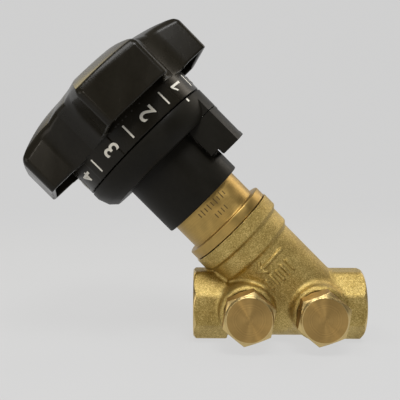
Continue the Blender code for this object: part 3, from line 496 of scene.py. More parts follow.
class Look:
    """A Principled material and short ways to add nodes to it."""

    def __init__(self, name, colour, roughness, metallic=0.0, **constants):
        self.material = bpy.data.materials.new(name)
        self.material.use_nodes = True
        self.tree = self.material.node_tree
        self.shader = self.tree.nodes["Principled BSDF"]
        self.shader.inputs["Base Color"].default_value = (*colour, 1.0)
        self.shader.inputs["Roughness"].default_value = roughness
        self.shader.inputs["Metallic"].default_value = metallic
        for socket, value in constants.items():
            self.shader.inputs[socket.replace("_", " ")].default_value = value
        self.coordinates = self.add("ShaderNodeTexCoord").outputs["Object"]

    def add(self, kind, **settings):
        node = self.tree.nodes.new(kind)
        for name, value in settings.items():
            setattr(node, name, value)
        return node

    def link(self, output, socket):
        self.tree.links.new(output, socket)

    def noise(self, size, detail=2.0, stretch=(1.0, 1.0, 1.0), roughness=0.5):
        """Noise whose blobs are about this many millimetres across, from 0 to 1."""
        mapping = self.add("ShaderNodeMapping")
        mapping.inputs["Scale"].default_value = stretch
        self.link(self.coordinates, mapping.inputs["Vector"])
        texture = self.add("ShaderNodeTexNoise")
        texture.inputs["Scale"].default_value = 1.0 / (size * MM)
        texture.inputs["Detail"].default_value = detail
        texture.inputs["Roughness"].default_value = roughness
        self.link(mapping.outputs["Vector"], texture.inputs["Vector"])
        return texture.outputs["Fac"]

    def radius(self):
        """Distance from the local Z axis, in millimetres."""
        flat = self.add("ShaderNodeVectorMath", operation="MULTIPLY")
        flat.inputs[1].default_value = (1.0, 1.0, 0.0)
        self.link(self.coordinates, flat.inputs[0])
        length = self.add("ShaderNodeVectorMath", operation="LENGTH")
        self.link(flat.outputs["Vector"], length.inputs[0])
        return self.maths("MULTIPLY", length.outputs["Value"], 1.0 / MM)

    def height(self):
        """Height along the local Z axis, in millimetres."""
        parts = self.add("ShaderNodeSeparateXYZ")
        self.link(self.coordinates, parts.inputs[0])
        return self.maths("MULTIPLY", parts.outputs["Z"], 1.0 / MM)

    def maths(self, operation, first, second=0.0, third=0.0):
        node = self.add("ShaderNodeMath", operation=operation)
        for socket, value in zip(node.inputs, (first, second, third)):
            if isinstance(value, float):
                socket.default_value = value
            else:
                self.link(value, socket)
        return node.outputs[0]

    def grooves(self, along, pitch, wobble=0.5):
        """Fine turning marks at a pitch in millimetres along a distance, from 0 to 1."""
        mixed = self.maths("MULTIPLY_ADD", self.noise(pitch * 12.0), wobble * pitch * 8.0, along)
        texture = self.add("ShaderNodeTexNoise", noise_dimensions="1D")
        texture.inputs["Scale"].default_value = 1.0 / pitch
        texture.inputs["Detail"].default_value = 3.0
        self.link(mixed, texture.inputs["W"])
        return texture.outputs["Fac"]

    def blend(self, factor, stops, socket="Base Color"):
        """Drives a colour or a value by a ramp of (position, colour or value) stops."""
        ramp = self.add("ShaderNodeValToRGB")
        elements = ramp.color_ramp.elements
        while len(elements) < len(stops):
            elements.new(0.5)
        for element, (position, value) in zip(elements, stops):
            element.position = position
            element.color = (*value, 1.0) if isinstance(value, tuple) else (value, value, value, 1.0)
        self.link(factor, ramp.inputs["Fac"])
        if socket:
            self.link(ramp.outputs["Color"], self.shader.inputs[socket])
        return ramp.outputs["Color"]

    def bump(self, *layers, edge=0.0):
        """Layers of (height, strength, depth in millimetres), over edges rounded by `edge`."""
        normal = None
        if edge:
            bevel = self.add("ShaderNodeBevel", samples=6)
            bevel.inputs["Radius"].default_value = edge * MM
            normal = bevel.outputs["Normal"]
        for height, strength, depth in layers:
            node = self.add("ShaderNodeBump")
            node.inputs["Strength"].default_value = strength
            node.inputs["Distance"].default_value = depth * MM
            self.link(height, node.inputs["Height"])
            if normal:
                self.link(normal, node.inputs["Normal"])
            normal = node.outputs["Normal"]
        self.link(normal, self.shader.inputs["Normal"])

    def radial_tangent(self):
        tangent = self.add("ShaderNodeTangent", direction_type="RADIAL", axis="Z")
        self.link(tangent.outputs["Tangent"], self.shader.inputs["Tangent"])


def cast_brass():
    """Blasted sand casting: fine sparkling grain, soft hollows, darker in its shallow pits."""
    look = Look("cast_brass_look", (0.5, 0.36, 0.13), 0.4, 1.0)
    grain = look.noise(0.3, 4.0, roughness=0.7)
    coarse = look.noise(0.75, 3.0, roughness=0.6)
    cloud = look.noise(9.0, 2.0)
    tone = look.maths("MULTIPLY_ADD", cloud, 0.25, look.maths("MULTIPLY_ADD", coarse, 0.35, grain))
    stops = [
        (0.62, (0.24, 0.165, 0.045)),
        (0.8, (0.44, 0.32, 0.1)),
        (0.95, (0.74, 0.58, 0.24)),
    ]
    look.blend(tone, stops)
    look.blend(coarse, [(0.3, 0.4), (0.7, 0.56)], "Roughness")
    look.bump((cloud, 0.2, 0.4), (coarse, 0.5, 0.18), (grain, 0.9, 0.14))
    return look.material


def machined_brass(
    name, colour, along="radius", pitch=0.22, roughness=0.27, strength=0.3, edge=0.2, streak=0.6, grain=0.3
):
    """Turned brass, with tool marks round the axis."""
    look = Look(name, colour, roughness, 1.0, Anisotropic=streak, Anisotropic_Rotation=0.25)
    distance = look.radius() if along == "radius" else look.height()
    marks = look.grooves(distance, pitch)
    tarnish = look.noise(5.0, 3.0)
    dark = tuple(0.72 * channel for channel in colour)
    light = tuple(min(1.15 * channel, 0.95) for channel in colour)
    tone = look.maths("MULTIPLY_ADD", marks, 0.35, look.maths("MULTIPLY", tarnish, 0.65))
    look.blend(tone, [(0.3, dark), (0.7, light)])
    look.blend(tarnish, [(0.3, roughness - 0.04), (0.75, roughness + 0.12)], "Roughness")
    look.bump((marks, strength, 0.03), (look.noise(0.4, 4.0), grain, 0.06), edge=edge)
    look.radial_tangent()
    return look.material


def moulded_plastic(name, colour, roughness, grain, strength, edge=0.25, **constants):
    """Moulded plastic: faint texture, uneven gloss and a few handling marks."""
    look = Look(name, colour, roughness, 0.0, **constants)
    texture = look.noise(grain, 2.0)
    smear = look.noise(9.0, 4.0, (1.0, 1.0, 0.35))
    dust = look.noise(1.4, 5.0, roughness=0.7)
    light = tuple(1.7 * channel + 0.002 for channel in colour)
    tone = look.maths("MULTIPLY_ADD", dust, 0.4, look.maths("MULTIPLY", smear, 0.6))
    look.blend(tone, [(0.35, colour), (0.8, light)])
    look.blend(smear, [(0.3, roughness * 0.85), (0.75, roughness * 1.35)], "Roughness")
    look.bump((texture, strength, 0.05), edge=edge)
    return look.material


def plain_steel():
    look = Look("steel_look", (0.5, 0.5, 0.49), 0.3, 1.0, Anisotropic=0.3)
    streaks = look.noise(1.2, 4.0)
    look.blend(streaks, [(0.3, (0.36, 0.36, 0.36)), (0.7, (0.62, 0.61, 0.59))])
    look.blend(streaks, [(0.3, 0.24), (0.7, 0.42)], "Roughness")
    look.bump((look.noise(0.3), 0.2, 0.04))
    return look.material


def clear_window():
    look = Look("clear_window_look", (0.8, 0.82, 0.8), 0.05, 0.0, Transmission_Weight=0.9, IOR=1.49)
    haze = look.noise(2.0, 4.0)
    look.blend(haze, [(0.4, 0.04), (0.8, 0.14)], "Roughness")
    look.bump((look.noise(4.0), 0.06, 0.05))
    return look.material


CAST = cast_brass()
PORT_FACE = machined_brass(
    "port_face_look", (0.43, 0.275, 0.095), pitch=0.42, roughness=0.3, strength=0.6, streak=0.9, grain=0.05
)
BONNET_BRASS = machined_brass(
    "bonnet_look", (0.46, 0.31, 0.1), "height", pitch=0.3, roughness=0.4, streak=0.25, grain=0.5
)
CUT_BRASS = machined_brass("cut_face_look", (0.66, 0.5, 0.22), pitch=0.25, roughness=0.28, strength=0.2)
GLOSS_BLACK = moulded_plastic(
    "gloss_black_look",
    (0.0075, 0.0062, 0.0036),
    0.24,
    grain=2.2,
    strength=0.04,
    edge=0.0,
    Specular_IOR_Level=0.18,
)
SATIN_BLACK = moulded_plastic(
    "satin_black_look", (0.0065, 0.0058, 0.004), 0.42, grain=0.3, strength=0.2, Specular_IOR_Level=0.12
)
IVORY = moulded_plastic("ivory_look", (0.58, 0.56, 0.5), 0.5, grain=0.4, strength=0.1, edge=0.0)
RUBBER = moulded_plastic("rubber_look", (0.016, 0.016, 0.016), 0.65, grain=0.25, strength=0.4)
STEEL = plain_steel()
CLEAR = clear_window()
MARK_BROWN = moulded_plastic(
    "mark_look", (0.1, 0.066, 0.026), 0.6, grain=0.3, strength=0.2, edge=0.0, Specular_IOR_Level=0.1
)


# --- Valve body -----------------------------------------------------------------------------------


def octagon_distance(points, low, high):
    """A cast eight-sided end about the pipe's axis, with softened corners."""
    turns = [math.radians(45.0 * step) for step in range(8)]
    sides = [points[:, 1] * math.cos(t) + points[:, 2] * math.sin(t) for t in turns]
    across = sides[0] - END_FLATS / 2.0
    for side in sides[1:]:
        across = overlap(across, side - END_FLATS / 2.0, END_CORNER_ROUNDING)
    return overlap(across, np.maximum(low - points[:, 0], points[:, 0] - high), END_EDGE_ROUNDING)


def stroke_distance(turn, height, start, end, width):
    """Distance to a straight stroke on the unrolled branch, between (turn, height) points."""
    scale = math.radians(1.0) * BRANCH_RADIUS
    ax, ay = start[0] * scale, start[1]
    bx, by = end[0] * scale, end[1]
    px, py = turn * scale - ax, height - ay
    dx, dy = bx - ax, by - ay
    share = np.clip((px * dx + py * dy) / (dx * dx + dy * dy), 0.0, 1.0)
    return np.hypot(px - share * dx, py - share * dy) - width


def cast_marks():
    """The strokes of a raised flow arrow, and of a row of plain raised bars below it."""
    strokes = [(ARROW_TAIL, ARROW_TIP)]
    strokes += [(ARROW_TIP, barb) for barb in ARROW_BARBS]
    strokes += [((turn, BAR_BOTTOM), (turn, BAR_TOP)) for turn in BAR_TURNS]
    return strokes


def body_distance(points):
    """The casting before machining. It stands proud where a face is machined."""
    pipe = local_points(points, PIPE)
    stem = local_points(points, STEM)
    shape = cylinder_distance(pipe, PIPE_RADIUS, PIPE_INSET, FACE_TO_FACE - PIPE_INSET, 1.0)
    ends = [
        octagon_distance(points, -CAST_STOCK, END_LENGTH),
        octagon_distance(points, FACE_TO_FACE - END_LENGTH, FACE_TO_FACE + CAST_STOCK),
    ]
    (lower_radius, lower_start), (upper_radius, upper_start) = LOWER_COLLAR, UPPER_COLLAR
    branch = cylinder_distance(stem, BRANCH_RADIUS, 0.0, lower_start + 2.0, 2.0)
    shape = join(shape, branch, BRANCH_FILLET)
    for end in ends:
        shape = join(shape, end, END_FILLET)
    lower = cylinder_distance(stem, lower_radius, lower_start - 0.5, upper_start + 2.0, LOWER_COLLAR_ROUNDING)
    upper = cylinder_distance(
        stem, upper_radius, upper_start - 0.5, BODY_TOP + CAST_STOCK, UPPER_COLLAR_ROUNDING
    )
    shape = join(join(shape, lower, LOWER_COLLAR_FILLET), upper, UPPER_COLLAR_FILLET)
    for port in PORTS.values():
        boss = cylinder_distance(local_points(points, port), BOSS_RADIUS, 0.0, BOSS_FACE, BOSS_ROUNDING)
        shape = join(shape, boss, BOSS_FILLET)
    radial = np.hypot(stem[:, 0], stem[:, 1])
    turn = np.degrees(np.arctan2(stem[:, 0], -stem[:, 1]))
    near = np.abs(radial - BRANCH_RADIUS) - MARK_RISE
    marks = np.full(len(points), 10.0)
    for start, end in cast_marks():
        marks = np.minimum(marks, stroke_distance(turn, stem[:, 2], start, end, MARK_HALF_WIDTH))
    return join(shape, overlap(marks, near, MARK_ROUNDING), MARK_FILLET)


def threaded_plug(length):
    """The cutter for one socket: a tapped hole from z = 0, with its entry chamfer."""
    around = 96
    heights = np.arange(-1.0, length + 0.001, 0.125)
    turns = 2.0 * math.pi * np.arange(around) / around
    phase = (heights[:, None] / THREAD_PITCH - turns[None, :] / (2.0 * math.pi)) % 1.0
    groove = np.clip(1.35 - 2.2 * np.abs(2.0 * phase - 1.0), 0.0, 1.0)
    fade = np.clip((THREAD_END - heights) / THREAD_FADE, 0.0, 1.0)[:, None]
    radii = SOCKET_RADIUS + THREAD_DEPTH * groove * fade
    entry = SOCKET_RADIUS + SOCKET_CHAMFER - heights[:, None]
    radii = np.maximum(radii, entry)
    bm = bmesh.new()
    rows = []
    for height, row in zip(heights, radii):
        spots = zip(row * np.cos(turns), row * np.sin(turns))
        rows.append([bm.verts.new((x, y, height)) for x, y in spots])
    for lower, upper in zip(rows, rows[1:]):
        for step in range(around):
            after = (step + 1) % around
            bm.faces.new((lower[step], lower[after], upper[after], upper[step]))
    bm.faces.new(rows[0][::-1])
    bm.faces.new(rows[-1])
    return bm


def valve_body():
    body = net_piece("body_casting", body_distance, (-3, -21, -19), (68, 21, 48), 0.4, CAST, WORLD)
    far_face = Matrix.Translation((FACE_TO_FACE, 0.0, 0.0)) @ Matrix.Rotation(math.radians(-90.0), 4, "Y")
    passages = {False: OUTLET_PASSAGE, True: INLET_PASSAGE}
    end_reach = 15.0
    top_reach = 24.0
    clear = 5.0
    for from_right, (radius, stop) in passages.items():
        frame = far_face if from_right else PIPE
        depth = FACE_TO_FACE - stop if from_right else stop
        outside = [
            (0.0, -clear),
            (end_reach, -clear),
            (end_reach, end_reach - END_FACE_RADIUS),
            (END_FACE_RADIUS, 0.0),
            (0.0, 0.0),
        ]
        cut(body, turned(outside), frame=frame, look=CUT_BRASS)
        cut(body, threaded_plug(SOCKET_DEPTH), frame=frame, look=CUT_BRASS)
        passage = [
            (0.0, SOCKET_DEPTH - 0.5),
            (radius + 1.0, SOCKET_DEPTH - 0.5),
            (radius, SOCKET_DEPTH + 1.0),
            (radius, depth),
            (0.0, depth),
        ]
        cut(body, turned(passage, 64), frame=frame, look=CUT_BRASS)
    top = [(0.0, BODY_TOP), (top_reach, BODY_TOP), (top_reach, BODY_TOP + clear), (0.0, BODY_TOP + clear)]
    cut(body, turned(top), frame=STEM, look=CUT_BRASS)
    chamber = [
        (0.0, -2.0),
        (SEAT_RADIUS, -2.0),
        (SEAT_RADIUS, CHAMBER_FLOOR),
        (CHAMBER_RADIUS, CHAMBER_FLOOR),
        (CHAMBER_RADIUS, BODY_TOP + 1.0),
        (0.0, BODY_TOP + 1.0),
    ]
    cut(body, turned(chamber, 96), frame=STEM, look=CUT_BRASS)
    spot_radius = BOSS_RADIUS - BOSS_ROUNDING + 0.3
    spot_floor = BOSS_FACE - BOSS_SPOT_DEPTH
    for port in PORTS.values():
        bore = [
            (0.0, BOSS_BORE_FLOOR),
            (BOSS_BORE_RADIUS, BOSS_BORE_FLOOR),
            (BOSS_BORE_RADIUS, spot_floor),
            (spot_radius, spot_floor),
            (spot_radius, BOSS_FACE + 1.0),
            (0.0, BOSS_FACE + 1.0),
        ]
        cut(body, turned(bore, 96), frame=port, look=CUT_BRASS)
    ride(resharpen(body, 35.0), "valve", "cast_brass", "valve_body")


def port_plugs():
    corner = PLUG_FLATS / 2.0 / math.cos(math.pi / 6.0)
    face = PLUG_FLATS / 2.0
    chamfer_start = PLUG_TOP - PLUG_CHAMFER
    inner, outer = PLUG_COLLAR
    for side, port in PORTS.items():
        head = prism(polygon(6, PLUG_FLATS, 90.0 - PLUG_TURN), PLUG_BOTTOM, PLUG_TOP)
        plug = finish_mesh(f"{side}_plug", head, [PORT_FACE], port)
        crown = [
            (0.0, PLUG_BOTTOM - 1.0),
            (corner + 1.0, PLUG_BOTTOM - 1.0),
            (corner + 1.0, chamfer_start - (corner + 1.0 - face) * PLUG_CHAMFER_SLOPE),
            (face, chamfer_start),
            (face - PLUG_CROWN_STEP, PLUG_TOP, 0.25),
            (0.0, PLUG_TOP),
        ]
        cut(plug, turned(crown, 96), "INTERSECT", look=CUT_BRASS)
        shank = [
            (0.0, SHANK_BOTTOM),
            (SHANK_RADIUS - SHANK_CHAMFER, SHANK_BOTTOM),
            (SHANK_RADIUS, SHANK_BOTTOM + SHANK_CHAMFER),
            (SHANK_RADIUS, PLUG_BOTTOM + 1.0),
            (0.0, PLUG_BOTTOM + 1.0),
        ]
        cut(plug, turned(shank, 64), "UNION")
        collar = [
            (inner, SEAL_BOTTOM),
            (outer, SEAL_BOTTOM, 0.2),
            (outer, PLUG_BOTTOM + 0.5),
            (inner, PLUG_BOTTOM + 0.5),
        ]
        cut(plug, turned(collar, 96), "UNION")
        ride(resharpen(plug, 20.0), "valve", "turned_brass", f"{side}_port_plug")
        ring = [
            (BOSS_BORE_RADIUS, SEAL_BOTTOM),
            (SEAL_RADIUS, SEAL_BOTTOM, 0.3),
            (SEAL_RADIUS, SEAL_TOP, 0.3),
            (BOSS_BORE_RADIUS, SEAL_TOP),
        ]
        seal = finish_mesh(f"{side}_plug_seal", turned(ring, 96), [RUBBER], port)
        ride(seal, "valve", "black_rubber", f"{side}_port_seal")


# --- Bonnet, shroud and window --------------------------------------------------------------------


def bonnet():
    clip_floor = BONNET_SLEEVE_RADIUS - CLIP_GROOVE_DEPTH
    groove_low, groove_high = O_RING_GROOVE
    profile = [
        (BONNET_BORE_RADIUS, BONNET_BOTTOM),
        (BONNET_TAIL_RADIUS, BONNET_BOTTOM, 0.8),
        (BONNET_TAIL_RADIUS, groove_low),
        (O_RING_GROOVE_RADIUS, groove_low),
        (O_RING_GROOVE_RADIUS, groove_high),
        (BONNET_TAIL_RADIUS, groove_high),
        (BONNET_TAIL_RADIUS, FLANGE_BOTTOM),
        (FLANGE_RADIUS, FLANGE_BOTTOM, 0.25),
        (FLANGE_RADIUS, FLANGE_TOP, 0.5),
        (BONNET_SLEEVE_RADIUS, FLANGE_TOP, 0.4),
        (BONNET_SLEEVE_RADIUS, CLIP_HEIGHT - CLIP_GROOVE_HALF),
        (clip_floor, CLIP_HEIGHT - CLIP_GROOVE_HALF),
        (clip_floor, CLIP_HEIGHT + CLIP_GROOVE_HALF),
        (BONNET_SLEEVE_RADIUS, CLIP_HEIGHT + CLIP_GROOVE_HALF),
        (BONNET_SLEEVE_RADIUS, BONNET_SLEEVE_TOP),
        (NECK_RADIUS, BONNET_SLEEVE_TOP),
        (NECK_RADIUS, NECK_TOP),
        (STEM_BORE_RADIUS, NECK_TOP),
        (STEM_BORE_RADIUS, BONNET_BORE_TOP),
        (BONNET_BORE_RADIUS, BONNET_BORE_TOP),
    ]
    made = finish_mesh("bonnet_turned", turned(profile, 160), [BONNET_BRASS], STEM)
    pin_hole = block((-13.0, -1.3, 33.7), (-8.1, 1.3, 36.3))
    cut(made, pin_hole)
    ride(resharpen(made), "valve", "turned_brass", "bonnet")


def curved_patch(turn, height, wide, tall, radius, thickness):
    """A thin rectangular patch laid on a cylinder about the stem."""
    steps = 6
    half = math.degrees(wide / 2.0 / radius)
    bm = bmesh.new()
    rows = []
    for reach in (radius - thickness, radius + thickness):
        for level in (height - tall / 2.0, height + tall / 2.0):
            row = []
            for step in range(steps + 1):
                here = math.radians(turn - half + 2.0 * half * step / steps)
                row.append(bm.verts.new((reach * math.sin(here), -reach * math.cos(here), level)))
            rows.append(row)
    inner_low, inner_high, outer_low, outer_high = rows
    loop = [inner_low, inner_high, outer_high, outer_low]
    for step in range(steps):
        for first, second in zip(loop, loop[1:] + loop[:1]):
            bm.faces.new((first[step], first[step + 1], second[step + 1], second[step]))
    for step in (0, steps):
        bm.faces.new((inner_low[step], inner_high[step], outer_high[step], outer_low[step]))
    return bm


def joined(pieces, name):
    """Merges separate bmeshes into one."""
    whole = bmesh.new()
    for bm in pieces:
        mesh = bpy.data.meshes.new(name)
        bm.to_mesh(mesh)
        bm.free()
        whole.from_mesh(mesh)
        bpy.data.meshes.remove(mesh)
    return whole


def sleeve_marks():
    """Plain dark tick marks where the bonnet's sleeve is marked."""
    spots = [
        (UPPER_TICKS_FIRST_TURN + SLEEVE_TICK_STEP * number, UPPER_TICKS_HEIGHT, UPPER_TICK_LENGTHS[number % 2])
        for number in range(UPPER_TICKS)
    ]
    spots += [
        (SLEEVE_TICK_STEP * number, LOWER_TICKS_HEIGHT, LOWER_TICK_LENGTH) for number in range(LOWER_TICKS)
    ]
    patches = [
        curved_patch(turn, height, SLEEVE_TICK_WIDE, tall, BONNET_SLEEVE_RADIUS, SLEEVE_TICK_THICKNESS)
        for turn, height, tall in spots
    ]
    marks = finish_mesh("sleeve_marks", joined(patches, "marks"), [MARK_BROWN], STEM)
    ride(marks, "valve", "turned_brass")


def window_shape(grow):
    inner = WINDOW_INNER - grow
    outline = [
        (WINDOW_NOTCH[0], WINDOW_BOTTOM),
        (DISH_RADIUS + 2.0, WINDOW_BOTTOM),
        (DISH_RADIUS + 2.0, WINDOW_TOP + grow),
        (inner, WINDOW_TOP + grow),
        (inner, WINDOW_NOTCH[1]),
        (WINDOW_NOTCH[0], WINDOW_NOTCH[1]),
    ]
    return side_prism(outline, WINDOW_HALF_WIDTH + grow)


def rod(radius, low, high):
    return turned([(0.0, low), (radius, low), (radius, high), (0.0, high)], 160)


def indicator_shroud():
    bore = DISH_RADIUS - DISH_WALL
    profile = [
        (SLEEVE_BORE_RADIUS, SHROUD_BOTTOM),
        (SHROUD_SLEEVE_RADIUS, SHROUD_BOTTOM, 0.5),
        (SHROUD_SLEEVE_RADIUS, DISH_BOTTOM),
        (DISH_RADIUS, DISH_BOTTOM),
        (DISH_RADIUS, DISH_TOP, 0.3),
        (bore, DISH_TOP),
        (bore, DISH_CONE_END),
        (bore - DISH_INNER_SLOPE_RUN, DISH_INNER_FLOOR),
        (SLEEVE_BORE_RADIUS, DISH_INNER_FLOOR),
    ]
    shroud = finish_mesh("shroud", turned(profile, 160), [SATIN_BLACK], STEM)
    margin = 2.0
    upper_slope = (DISH_RADIUS - DISH_CONE_START[0]) / (DISH_CONE_END - DISH_CONE_START[1])
    lower_slope = (DISH_CONE_START[0] - DISH_FLOOR_RADIUS) / (DISH_CONE_START[1] - DISH_BOTTOM)
    cone = [
        (DISH_FLOOR_RADIUS - margin * lower_slope, DISH_BOTTOM - margin),
        (DISH_RADIUS + margin, DISH_BOTTOM - margin),
        (DISH_RADIUS + margin, DISH_CONE_END + margin),
        (DISH_RADIUS + margin * upper_slope, DISH_CONE_END + margin),
        DISH_CONE_START,
    ]
    cone_cut = finish_mesh("cone_cut", turned(cone, 160), [], STEM)
    visor = block((0.0, -WINDOW_HALF_WIDTH, WINDOW_TOP), (DISH_RADIUS + 5.0, WINDOW_HALF_WIDTH, DISH_TOP))
    cut(cone_cut, visor)
    cut(shroud, taken(cone_cut))
    pocket = finish_mesh("pocket", window_shape(GAP), [], STEM)
    cut(pocket, rod(SHROUD_SLEEVE_RADIUS + 0.1, SHROUD_BOTTOM, DISH_TOP))
    cut(shroud, taken(pocket))
    slot_low, slot_high = SLIDER_SLOT
    slot_end = (SHROUD_SLEEVE_RADIUS + 2.0, SLIDER_SLOT_HALF_WIDTH, slot_high)
    cut(shroud, block((NECK_RADIUS, -SLIDER_SLOT_HALF_WIDTH, slot_low), slot_end))
    ride(resharpen(shroud), "valve", "black_matt_plastic", "indicator_shroud")


def taken(helper):
    """The helper's mesh as a bmesh in millimetres. The helper itself is removed."""
    bm = bmesh.new()
    bm.from_mesh(helper.data)
    bmesh.ops.scale(bm, vec=(1.0 / MM, 1.0 / MM, 1.0 / MM), verts=bm.verts)
    bpy.data.objects.remove(helper)
    return bm


def window_housing():
    housing = finish_mesh("window_box", window_shape(0.0), [SATIN_BLACK], STEM)
    cut(housing, rod(DISH_RADIUS, SHROUD_BOTTOM, DISH_TOP), "INTERSECT")
    cut(housing, rod(SHROUD_SLEEVE_RADIUS + GAP, SHROUD_BOTTOM, DISH_TOP))
    half = WINDOW_HALF_WIDTH - WINDOW_WALL
    room_block = block((0.0, -half, WINDOW_BOTTOM + WINDOW_WALL), (DISH_RADIUS, half, DISH_TOP))
    room = finish_mesh("room", room_block, [], STEM)
    cut(room, rod(DISH_RADIUS - WINDOW_WALL, SHROUD_BOTTOM, DISH_TOP + 1.0), "INTERSECT")
    cut(housing, taken(room))
    hole_end = (DISH_RADIUS + 2.0, PANE_HALF_WIDTH, PANE_TOP)
    hole = block((PANE_HOLE_DEPTH_RADIUS, -PANE_HALF_WIDTH, PANE_BOTTOM), hole_end)
    cut(housing, hole)
    ride(resharpen(housing), "valve", "black_matt_plastic", "window_housing")


def arc_plate(inner, outer, half_width, low, high):
    """A plate curved about the stem on its +X side."""
    steps = 24
    half_turn = math.asin(half_width / outer)
    turns = [half_turn * (2.0 * step / steps - 1.0) for step in range(steps + 1)]
    outline = [(outer * math.cos(turn), outer * math.sin(turn)) for turn in turns]
    outline += [(inner * math.cos(turn), inner * math.sin(turn)) for turn in reversed(turns)]
    return prism(outline, low, high)


def window_pane():
    inner = DISH_RADIUS - WINDOW_WALL + 0.2
    outer = DISH_RADIUS - 0.3
    plate = arc_plate(inner, outer, PANE_HALF_WIDTH - GAP, PANE_BOTTOM + GAP, PANE_TOP - GAP)
    pane = finish_mesh("window_glass", plate, [CLEAR], STEM)
    ride(pane, "valve", "clear_plastic", "window_pane")


# --- Handwheel and dial ---------------------------------------------------------------------------


def lobe_edges(points):
    """Plan distance to the nearest lobe, and the rim's radius in each point's direction."""
    turn = np.degrees(np.arctan2(points[:, 1], points[:, 0])) - (LOBE_MIDDLE - 90.0)
    step = 360.0 / LOBES
    folded = np.abs((turn + step / 2.0) % step - step / 2.0)
    radial = np.hypot(points[:, 0], points[:, 1])
    along = radial * np.cos(np.radians(folded))
    across = radial * np.sin(np.radians(folded))
    corner = np.array((LOBE_REACH, LOBE_HALF_WIDTH))
    valley_turn = math.radians(VALLEY_TURN)
    valley = VALLEY_REACH * np.array((math.cos(valley_turn), math.sin(valley_turn)))
    run = (valley - corner) / np.linalg.norm(valley - corner)
    normal = np.array((run[1], -run[0]))
    flank = along * normal[0] + across * normal[1] - corner @ normal
    lobe = overlap(along - LOBE_REACH, flank, LOBE_CORNER_RADIUS)
    cosine, sine = np.cos(np.radians(folded)), np.sin(np.radians(folded))
    to_flank = (corner @ normal) / np.maximum(normal[0] * cosine + normal[1] * sine, 0.05)
    rim = np.maximum(np.minimum(LOBE_REACH / cosine, to_flank), SKIRT_RADIUS)
    return lobe, radial, rim


def dome_height(radius, rim=DOME_DROP_RADIUS):
    even = radius / DOME_DROP_RADIUS
    share = even + DOME_FOLLOWS_RIM * (radius / rim - even)
    return DOME_TOP - DOME_DROP * share**DOME_POWER


def wheel_distance(points):
    lobe, radial, rim = lobe_edges(points)
    height = points[:, 2]
    lobes = overlap(lobe, LOBE_BOTTOM - height, LOBE_EDGE_ROUNDING)
    core = overlap(radial - SKIRT_RADIUS, SKIRT_BOTTOM - height, SKIRT_ROUNDING)
    shape = join(lobes, core, VALLEY_CORNER_RADIUS)
    shape = np.where(height < LOBE_BOTTOM - 0.2, core, shape)
    shape = overlap(shape, height - dome_height(radial, rim), RIM_ROUNDING)
    pocket = np.maximum(np.maximum(lobe + LOBE_WALL, height - POCKET_ROOF), SKIRT_RADIUS - radial)
    shape = overlap(shape, -pocket, POCKET_EDGE_ROUNDING)
    inside = SKIRT_RADIUS - SKIRT_WALL
    hollow = np.maximum(radial - inside, height - dome_height(np.minimum(radial, inside)) + DOME_THICKNESS)
    shape = np.maximum(shape, -hollow)
    hub = np.maximum(np.maximum(radial - HUB_RADIUS, HUB_BOTTOM - height), height - HUB_TOP)
    shape = np.minimum(shape, hub)
    square = np.maximum(np.abs(points[:, 0]), np.abs(points[:, 1])) - DRIVE_HALF_SIDE
    well = np.maximum(radial - HUB_WELL_RADIUS, HUB_WELL_FLOOR - height)
    seat = np.maximum(radial - CAP_SEAT_RADIUS, CAP_SEAT - height)
    return np.maximum(shape, -np.minimum(np.minimum(square, well), seat))


def handwheel():
    reach = 44.0
    low, high = (-reach, -reach, 86.0), (reach, reach, 123.0)
    wheel = net_piece("wheel_moulding", wheel_distance, low, high, 0.45, GLOSS_BLACK, STEM)
    ride(wheel, "turning_group", "black_gloss_plastic", "handwheel")
    outer = CAP_SEAT_RADIUS - GAP
    profile = [
        (0.0, CAP_SEAT - 2.0),
        (HUB_WELL_RADIUS - GAP, CAP_SEAT - 2.0),
        (HUB_WELL_RADIUS - GAP, CAP_SEAT + GAP),
        (outer, CAP_SEAT + GAP),
        (outer, dome_height(CAP_SEAT_RADIUS) + 0.3, 0.5),
        (8.6, CAP_TOP - 0.15, 0.4),
        (8.0, CAP_TOP - 0.5, 0.3),
        (7.2, CAP_TOP - 0.1, 0.4),
        (0.0, CAP_TOP),
    ]
    cap = finish_mesh("wheel_cap", turned(profile, 128), [GLOSS_BLACK], STEM)
    ride(cap, "turning_group", "black_gloss_plastic", "handwheel_cap")


def glyph(text):
    """A digit as a flat bmesh, DIGIT_TALL high and centred."""
    curve = bpy.data.curves.new("digit", "FONT")
    curve.body = text
    curve.resolution_u = 6
    curve.offset = 0.014
    writer = bpy.data.objects.new("digit", curve)
    mesh = bpy.data.meshes.new_from_object(writer)
    bpy.data.objects.remove(writer)
    bm = bmesh.new()
    bm.from_mesh(mesh)
    bpy.data.meshes.remove(mesh)
    xs = [vertex.co.x for vertex in bm.verts]
    ys = [vertex.co.y for vertex in bm.verts]
    scale = DIGIT_TALL / (max(ys) - min(ys))
    middle = Vector(((max(xs) + min(xs)) / 2.0, (max(ys) + min(ys)) / 2.0, 0.0))
    for vertex in bm.verts:
        vertex.co = (vertex.co - middle) * scale
        vertex.co.x *= 0.92
    return bm


def digit_one():
    """A one with a broad flag, which the built-in font's digit lacks."""
    outline = [(0.1, -0.5), (0.24, -0.5), (0.24, 0.5), (0.12, 0.5), (-0.2, 0.26), (-0.2, 0.1), (0.1, 0.32)]
    bm = bmesh.new()
    bm.faces.new([bm.verts.new((DIGIT_TALL * x, DIGIT_TALL * y, 0.0)) for x, y in outline])
    return bm


def tick():
    bm = bmesh.new()
    half_long, half_wide = TICK_LONG / 2.0, TICK_WIDE / 2.0
    signs = [(-1, -1), (1, -1), (1, 1), (-1, 1)]
    bm.faces.new([bm.verts.new((half_long * x, half_wide * y, 0.0)) for x, y in signs])
    return bm


